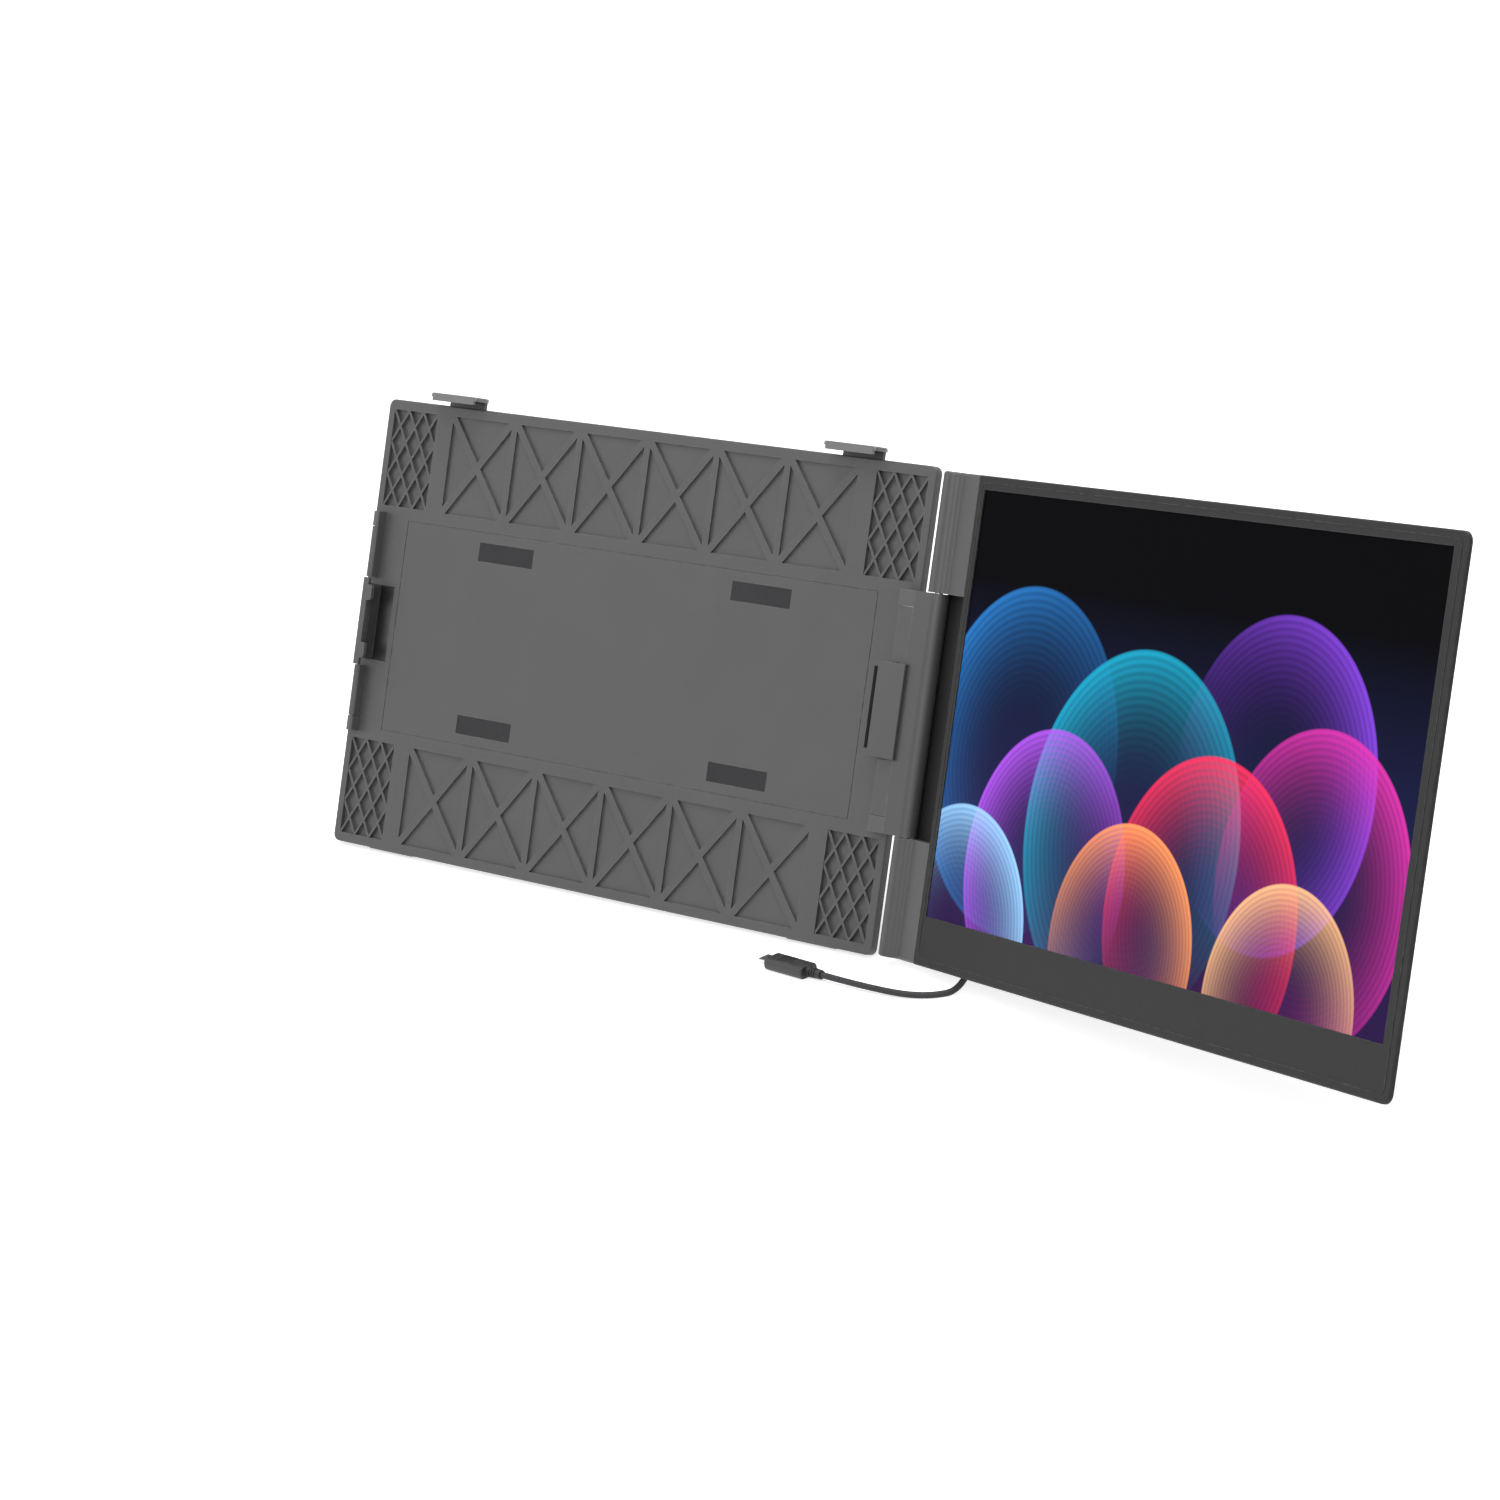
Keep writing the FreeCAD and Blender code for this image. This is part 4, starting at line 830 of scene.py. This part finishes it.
class FinishRack:
    """All finishes of the part, by the record's material slot."""

    DARK: Colour = (0.070, 0.070, 0.071)
    DARKER: Colour = (0.060, 0.060, 0.061)
    RUBBED: Colour = (0.17, 0.17, 0.172)

    def __init__(self) -> None:
        """Builds the shared effects and every material."""
        self.effects = EffectLibrary()
        self.by_slot: Dict[str, bpy.types.Material] = {
            slot: finish.make(self.effects) for slot, finish in self.finishes().items()}

    def finishes(self) -> Dict[str, object]:
        """Lists the finish of each material slot, and of the hook bars, which are smoother and
        painted lighter: their lighter colour is painted highlight.

        Returns:
            Slot name to finish.
        """
        dark, darker, rubbed = self.DARK, self.DARKER, self.RUBBED
        return {
            "frame_plastic": MouldedFinish(
                "frame_satin_plastic", dark, darker, rubbed, (0.40, 0.56)),
            # The hook bars are the frame's plastic, made smoother and painted lighter: the lighter
            # colour is painted highlight for their bright tops.
            "hook_bar_highlight_plastic": MouldedFinish(
                "hook_smooth_highlight_plastic", (0.095, 0.095, 0.096), (0.084, 0.084, 0.085), rubbed,
                (0.20, 0.30), Grain.FINE, 0.8),
            "band_plastic": MouldedFinish(
                "band_satin_plastic", (0.068, 0.068, 0.069), darker, rubbed, (0.38, 0.5)),
            "tile_plastic": MouldedFinish(
                "end_tile_plastic", (0.078, 0.078, 0.079), dark, rubbed, (0.26, 0.38), Grain.FINE),
            "barrel_plastic": MouldedFinish(
                "barrel_satin_plastic", (0.058, 0.058, 0.059), darker, rubbed, (0.32, 0.44),
                Grain.FINE, dust=0.06),
            "screen_plastic": MouldedFinish(
                "screen_shell_plastic", (0.018, 0.018, 0.0185), (0.016, 0.016, 0.0165),
                (0.09, 0.09, 0.092), (0.42, 0.58), shine=0.2, dust=0.04),
            "slide_plastic": MouldedFinish(
                "slide_waxy_plastic", (0.050, 0.050, 0.050), (0.042, 0.042, 0.042),
                (0.10, 0.10, 0.10), (0.35, 0.45), Grain.FINE),
            "sheet_metal": MetalFinish(
                "dark_rolled_sheet", (0.13, 0.13, 0.135), (0.09, 0.09, 0.095), (0.34, 0.5)),
            "stem_metal": MouldedFinish(
                "stem_satin_paint", (0.060, 0.060, 0.061), darker, (0.30, 0.30, 0.31), (0.34, 0.46),
                Grain.FINE, wear=7.0),
            "hinge_steel": MetalFinish(
                "hinge_ground_steel", (0.55, 0.56, 0.57), (0.44, 0.45, 0.47), (0.2, 0.34)),
            "screw_steel": MetalFinish(
                "screw_black_zinc", (0.16, 0.16, 0.17), (0.11, 0.11, 0.12), (0.28, 0.44)),
            "pad_rubber": MouldedFinish(
                "pad_matte_rubber", (0.024, 0.024, 0.026), (0.032, 0.032, 0.034),
                (0.06, 0.06, 0.06), (0.72, 0.88), Grain.COARSE, 0.3, dust=0.3),
            "brake_rubber": MouldedFinish(
                "brake_matte_rubber", (0.018, 0.018, 0.018), (0.026, 0.026, 0.026),
                (0.05, 0.05, 0.05), (0.7, 0.86), Grain.COARSE, 0.3),
            "display": DisplayFinish("lit_display", self.spots()),
            "backlight": MouldedFinish(
                "backlight_film", (0.84, 0.85, 0.86), (0.78, 0.80, 0.82), (0.9, 0.9, 0.9),
                (0.3, 0.4), Grain.FINE),
            "speaker_plastic": MouldedFinish(
                "speaker_black_plastic", (0.022, 0.022, 0.022), (0.03, 0.03, 0.03),
                (0.08, 0.08, 0.08), (0.4, 0.52)),
            "board": MouldedFinish(
                "board_lacquer", (0.020, 0.115, 0.065), (0.014, 0.085, 0.05), (0.35, 0.28, 0.12),
                (0.2, 0.32), Grain.FINE, tone_scale=300.0),
            "connector_steel": MetalFinish(
                "connector_nickel", (0.66, 0.67, 0.69), (0.56, 0.57, 0.59), (0.16, 0.3)),
            "button_plastic": MouldedFinish(
                "button_satin_plastic", (0.088, 0.088, 0.090), dark, (0.18, 0.18, 0.19),
                (0.3, 0.42), Grain.FINE),
            "lamp": MouldedFinish(
                "milky_light_pipe", (0.78, 0.83, 0.88), (0.70, 0.76, 0.82), (0.9, 0.92, 0.95),
                (0.18, 0.28), Grain.FINE, coat=0.4),
            "plug_plastic": MouldedFinish(
                "plug_satin_plastic", (0.020, 0.020, 0.022), (0.028, 0.028, 0.030),
                (0.09, 0.09, 0.09), (0.36, 0.5)),
            "cord_jacket": MouldedFinish(
                "cord_soft_jacket", (0.016, 0.016, 0.018), (0.022, 0.022, 0.024),
                (0.05, 0.05, 0.05), (0.5, 0.62), Grain.COARSE, 0.4, tone_scale=80.0),
        }

    @staticmethod
    def spots() -> Tuple[GlowSpot, ...]:
        """Lists the discs of the lit picture, from the farthest to the nearest.

        Returns:
            The discs, in heights of the picture from its lower left corner.
        """
        return (
            GlowSpot((0.30, 0.40), 0.40, (0.02, 0.17, 0.50), 2.5, 3.0),
            GlowSpot((1.28, 0.46), 0.36, (0.20, 0.05, 0.62), 0.4, 3.0),
            GlowSpot((0.78, 0.28), 0.42, (0.01, 0.34, 0.52), 1.9, 3.5),
            GlowSpot((1.46, 0.26), 0.34, (0.62, 0.03, 0.36), 0.9, 3.0),
            GlowSpot((0.46, 0.16), 0.33, (0.38, 0.08, 0.74), 2.2, 3.0),
            GlowSpot((1.08, 0.14), 0.36, (0.82, 0.03, 0.10), 1.4, 3.2),
            GlowSpot((0.80, 0.04), 0.28, (0.92, 0.30, 0.10), 1.2, 3.2),
            GlowSpot((1.40, 0.00), 0.27, (0.94, 0.50, 0.24), 1.7, 3.2),
            GlowSpot((0.12, -0.02), 0.30, (0.30, 0.58, 0.92), 1.0, 3.2),
        )

    def dress(self, piece: bpy.types.Object, slot: str) -> None:
        """Gives a piece the finish of one material slot.

        Args:
            piece: a new piece or a CAD node.
            slot: the record's slot name.
        """
        material = self.by_slot[slot]
        for index in range(len(piece.data.materials)):
            piece.data.materials[index] = material
        if not piece.data.materials:
            piece.data.materials.append(material)


# ---- sub-assemblies ----


@dataclass
class CadNodes:
    """The CAD nodes and their finishes, where the hook bars take a smoother one, painted lighter as
    highlight.
    """

    # The hook bars take a smoother finish whose lighter colour is painted highlight.
    SMOOTH_HIGHLIGHT_BARS: ClassVar[Dict[str, str]] = {"hook_left_bar": "hook_bar_highlight_plastic",
                                          "hook_right_bar": "hook_bar_highlight_plastic"}

    frame: Dict[str, object]
    rack: FinishRack

    def build(self) -> None:
        """Gives every CAD node the finish of its slot, and the hook bars a smoother one painted
        lighter as highlight.
        """
        for entry in self.frame["record"]["subparts"]:
            name = entry["node"]
            finish = self.SMOOTH_HIGHLIGHT_BARS.get(name, entry["material_slot"])
            self.rack.dress(self.frame["nodes"][name], finish)


@dataclass
class Lead:
    """The short lead from the hub's port down to the table and round to its free plug."""

    rack: FinishRack
    radius: float = 0.0016
    route: Tuple[Point, ...] = (
        (0.261532, -0.042808, -0.091849),
        (0.261532, -0.050875, -0.113621),
        (0.248000, -0.070500, -0.113621),
        (0.216000, -0.075500, -0.112121),
        (0.187200, -0.073000, -0.112121),
    )
    hidden: float = 0.0029

    def build(self) -> bpy.types.Object:
        """Makes the lead as one smooth spline through the route.

        Returns:
            The lead.
        """
        points = [Vector(point) for point in self.route]
        for end, inner in ((0, 1), (-1, -2)):
            points[end] += (points[end] - points[inner]).normalized() * self.hidden
        Bench.clear()
        curve = bpy.data.curves.new("lead_flex", "CURVE")
        curve.dimensions = "3D"
        curve.bevel_depth = self.radius
        curve.bevel_resolution = 5
        curve.resolution_u = 24
        curve.use_fill_caps = True
        spline = curve.splines.new("NURBS")
        spline.points.add(len(points) - 1)
        for target, point in zip(spline.points, points):
            target.co = (*point, 1.0)
        spline.order_u = 3
        spline.use_endpoint_u = True
        piece = bpy.data.objects.new("lead_flex", curve)
        bpy.context.scene.collection.objects.link(piece)
        self.rack.dress(piece, "cord_jacket")
        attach(piece, "screen")
        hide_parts("cord")
        LOG.info("lead made")
        return piece


@dataclass
class PlugGrips:
    """Rows of low ribs that fingers hold, on the flats of each plug that are off the table."""

    rack: FinishRack
    rib: Point = (0.0075, 0.0009, 0.0008)
    count: int = 5
    pitch: float = 0.0019
    rounding: float = 0.0003
    thickness: float = 0.0062
    # From the route's end to the free plug's first rib, and the port plug's first rib.
    free_reach: float = 0.0205
    port_at: Point = (0.057, 0.0124, -0.0825)

    def _row(self, name: str, place: Matrix, side: Side) -> bpy.types.Object:
        """Makes one row of ribs on one flat of a plug.

        Args:
            name: the row's name.
            place: the plug's drawing: X across, Y along, Z through its thickness.
            side: the flat that the row is on.

        Returns:
            The row.
        """
        level = side.value * self.thickness / 2
        Bench.clear()
        bpy.ops.mesh.primitive_cube_add(size=1.0, location=(0.0, 0.0, level))
        ribs = Bench.started(name, self.rib)
        outer = self.rib[2] / 4
        Bench.pick(ribs, "EDGE", lambda middle: (middle.z - level) * side.value > outer)
        bpy.ops.mesh.bevel(offset=self.rounding, segments=3)
        Bench.close()
        Bench.finish_modifier(ribs, "ARRAY", count=self.count, use_relative_offset=False,
                              use_constant_offset=True,
                              constant_offset_displace=(0.0, self.pitch, 0.0))
        Bench.settle(ribs, place)
        self.rack.dress(ribs, "plug_plastic")
        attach(ribs, "screen")
        return ribs

    def build(self) -> List[bpy.types.Object]:
        """Makes the rows on the free plug and on the plug in the port.

        Returns:
            The rows.
        """
        end, before = Vector(Lead.route[-1]), Vector(Lead.route[-2])
        way = end - before
        heading = math.atan2(way.y, way.x)
        free = Matrix.Translation(end) @ Matrix.Rotation(heading - math.pi / 2, 4, "Z")
        free = free @ Matrix.Translation((0.0, self.free_reach, 0.0))
        port = Places.on_screen(self.port_at, Facing.FRONT)
        rows = [self._row("free_plug_grip_front", free, Side.FRONT)]
        rows += [self._row("port_plug_grip_" + side.name.lower(), port, side) for side in Side]
        LOG.info("plug grips made: %d", len(rows))
        return rows


@dataclass
class BezelBead:
    """The fine raised line that runs round the display on its bezel."""

    rack: FinishRack
    left: float = 0.0262
    right: float = 0.4010
    bottom: float = -0.1148
    top: float = 0.1158
    face: float = -0.0002
    corner: float = 0.0035
    width: float = 0.0005
    height: float = 0.00016

    def build(self) -> bpy.types.Object:
        """Makes the line.

        Returns:
            The line as a thin ring.
        """
        size = (self.right - self.left, self.top - self.bottom)
        middle = ((self.left + self.right) / 2, (self.top + self.bottom) / 2)
        bead = Bench.outline("bezel_bead", size, middle, self.corner, self.width, self.height)
        Bench.settle(bead, Places.on_screen((0.0, self.face, 0.0), Facing.FRONT))
        self.rack.dress(bead, "screen_plastic")
        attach(bead, "screen")
        LOG.info("bezel bead made")
        return bead


@dataclass(frozen=True)
class Socket:
    """One free socket of the hub: its rim's name, place, outer size and corner, in metres."""

    name: str
    across: float
    size: Tuple[float, float]
    corner: float


@dataclass
class PortCollars:
    """Nickel rims round the hub's free sockets."""

    rack: FinishRack
    sockets: Tuple[Socket, ...] = (Socket("usb_rim", 0.080, (0.0104, 0.0047), 0.0021),
                                   Socket("video_rim", 0.108, (0.0127, 0.0047), 0.0009))
    level: float = -0.072
    depth: float = 0.0124
    width: float = 0.0004
    height: float = 0.00018

    def build(self) -> List[bpy.types.Object]:
        """Makes a rim for each free socket.

        Returns:
            The rims.
        """
        rims = []
        for socket in self.sockets:
            rim = Bench.outline(socket.name, socket.size, (socket.across, -self.depth),
                                socket.corner, self.width, self.height)
            Bench.settle(rim, Places.on_screen((0.0, 0.0, self.level), Facing.UNDER))
            self.rack.dress(rim, "connector_steel")
            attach(rim, "screen")
            rims.append(rim)
        LOG.info("socket rims made: %d", len(rims))
        return rims


@dataclass
class SoundMesh:
    """The punched sheet behind the sound slots of the screen's back."""

    rack: FinishRack
    width: float = 0.050
    height: float = 0.018
    middle: Tuple[float, float] = (0.3222, -0.065)
    depth: float = 0.0068
    rim: float = 0.0014
    fold: float = 0.0004
    thickness: float = 0.0003

    def build(self) -> bpy.types.Object:
        """Makes the sheet, with a folded rim that stiffens it.

        Returns:
            The sheet.
        """
        across, level = self.middle
        sheet = Bench.plate("sound_mesh", self.width, self.height, (-across, level))
        Bench.pick(sheet, "FACE", lambda middle: True)
        bpy.ops.mesh.inset(thickness=self.rim, depth=-self.fold)
        Bench.close()
        Bench.finish_modifier(sheet, "SOLIDIFY", thickness=self.thickness, offset=-1.0)
        Bench.settle(sheet, Places.on_screen((0.0, self.depth, 0.0), Facing.BACK))
        sheet.data.materials.append(MeshFinish("punched_sheet").make(self.rack.effects))
        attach(sheet, "screen")
        LOG.info("sound mesh made")
        return sheet


@dataclass
class LampLens:
    """The small milky dome over the hub's status lamp."""

    rack: FinishRack
    across: float = 0.116
    level: float = -0.034
    depth: float = 0.0157
    radius: float = 0.00115
    height: float = 0.0004
    step: float = 0.00035
    lifts: Tuple[float, ...] = (0.00018, 0.00010)
    slack: float = 1e-6

    def build(self) -> bpy.types.Object:
        """Makes the dome from a short round bar.

        Returns:
            The dome.
        """
        Bench.clear()
        bpy.ops.mesh.primitive_cylinder_add(vertices=24, radius=self.radius, depth=self.height,
                                            location=(-self.across, self.level, 0.0))
        lens = Bench.started("lamp_lens")
        top = self.height / 2
        for lift in self.lifts:
            Bench.pick(lens, "FACE", lambda middle: middle.z > top - self.slack)
            bpy.ops.mesh.inset(thickness=self.step, depth=0.0)
            bpy.ops.transform.translate(value=(0.0, 0.0, lift))
            Bench.close()
            top += lift
        Bench.settle(lens, Places.on_screen((0.0, self.depth, 0.0), Facing.BACK))
        self.rack.dress(lens, "lamp")
        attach(lens, "screen")
        LOG.info("lamp lens made")
        return lens


# ---- studio ----


@dataclass
class Studio:
    """Camera, lamps, world and a plain pale floor."""

    eye: Point = (1.60065, -1.59418, 0.68835)
    azimuth: float = 43.53
    elevation: float = 18.20
    roll: float = -6.14
    lens: float = 110.26
    key_power: float = 17.0
    fill_power: float = 6.0
    top_power: float = 24.0
    target: Point = (0.1, 0.0, 0.0)
    room_light: float = 0.38
    floor_glow: float = 0.60
    floor_size: float = 14.0

    def camera(self) -> None:
        """Puts the camera where the photograph was taken from."""
        az, el, roll = (math.radians(v) for v in (self.azimuth, self.elevation, self.roll))
        back = Vector((math.sin(az) * math.cos(el), -math.cos(az) * math.cos(el), math.sin(el)))
        across = Vector((0, 0, 1)).cross(back).normalized()
        up = back.cross(across)
        right = across * math.cos(roll) + up * math.sin(roll)
        top = up * math.cos(roll) - across * math.sin(roll)
        data = bpy.data.cameras.new("photo_camera")
        data.lens = self.lens
        data.sensor_width = 36.0
        data.clip_start, data.clip_end = 0.05, 50.0
        item = bpy.data.objects.new("photo_camera", data)
        matrix = Matrix((right, top, back)).transposed().to_4x4()
        matrix.translation = Vector(self.eye)
        item.matrix_world = matrix
        bpy.context.scene.collection.objects.link(item)
        bpy.context.scene.camera = item

    def lamp(self, name: str, place: Point, size: float, power: float) -> None:
        """Adds a square soft lamp that faces the part.

        Args:
            name: the lamp's name.
            place: where it stands, in metres.
            size: its side in metres.
            power: its power in watts.
        """
        data = bpy.data.lights.new(name, "AREA")
        data.shape = "SQUARE"
        data.size = size
        data.energy = power
        item = bpy.data.objects.new(name, data)
        item.location = place
        away = Vector(place) - Vector(self.target)
        item.rotation_euler = away.to_track_quat("Z", "Y").to_euler()
        bpy.context.scene.collection.objects.link(item)

    def lamps(self) -> None:
        """Adds the broad key beside the camera, a weak fill, and lights behind and above."""
        self.lamp("key_lamp", (1.05, -1.65, 1.30), 1.3, self.key_power)
        self.lamp("fill_lamp", (-1.5, -1.2, 0.9), 1.4, self.fill_power)
        self.lamp("back_lamp", (0.4, 1.9, 1.5), 1.4, self.fill_power)
        self.lamp("top_lamp", (0.1, -0.1, 1.9), 1.2, self.top_power)

    @staticmethod
    def seen(wiring: Wiring) -> bpy.types.NodeSocket:
        """Makes a mask of the rays that show the background: seen directly, mirrored or through.

        Args:
            wiring: the wiring of the world or the floor.

        Returns:
            The mask's socket.
        """
        path = wiring.add("LightPath").outputs
        other = wiring.math("MAXIMUM", path["Is Glossy Ray"], path["Is Transmission Ray"])
        return wiring.math("MAXIMUM", path["Is Camera Ray"], other)

    def world(self) -> None:
        """Makes an even pale world that shows white to the camera and in reflections."""
        world = bpy.data.worlds.new("pale_room")
        bpy.context.scene.world = world
        world.use_nodes = True
        wiring = Wiring(world.node_tree)
        wiring.tree.nodes.clear()
        mix = wiring.add("MixShader", Fac=self.seen(wiring))
        for target, strength in zip(mix.inputs[1:], (self.room_light, 1.0)):
            glow = wiring.add("Background", Color=(1.0, 1.0, 1.0), Strength=strength)
            wiring.feed(target, glow.outputs[0])
        wiring.add("OutputWorld", Surface=mix.outputs[0])

    def floor(self) -> None:
        """Adds the floor at the table's level."""
        Bench.clear()
        bpy.ops.mesh.primitive_plane_add(size=self.floor_size, location=(0.0, 0.0, TABLE_Z))
        floor = bpy.context.object
        floor.name = "floor"
        wiring, shader = Wiring.material("pale_floor")
        wiring.fill(shader, Base_Color=(0.90, 0.90, 0.90), Roughness=0.75, Specular_IOR_Level=0.2,
                    Emission_Color=(1.0, 1.0, 1.0),
                    Emission_Strength=wiring.math("MULTIPLY", self.seen(wiring), self.floor_glow))
        floor.data.materials.append(bpy.data.materials["pale_floor"])

    def build(self) -> None:
        """Sets up the whole studio."""
        self.camera()
        self.lamps()
        self.world()
        self.floor()
        bpy.context.scene.view_settings.view_transform = "Standard"
        LOG.info("studio made")


# ---- main ----


def main() -> None:
    """Builds the looks of the whole part, in order."""
    logging.basicConfig(level=logging.INFO, format="%(name)s: %(message)s")
    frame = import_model()
    Studio().build()
    rack = FinishRack()
    Lead(rack).build()
    CadNodes(frame, rack).build()
    PlugGrips(rack).build()
    BezelBead(rack).build()
    PortCollars(rack).build()
    SoundMesh(rack).build()
    LampLens(rack).build()
    Bench.clear()
    LOG.info("parts made")


if __name__ == "__main__":
    main()
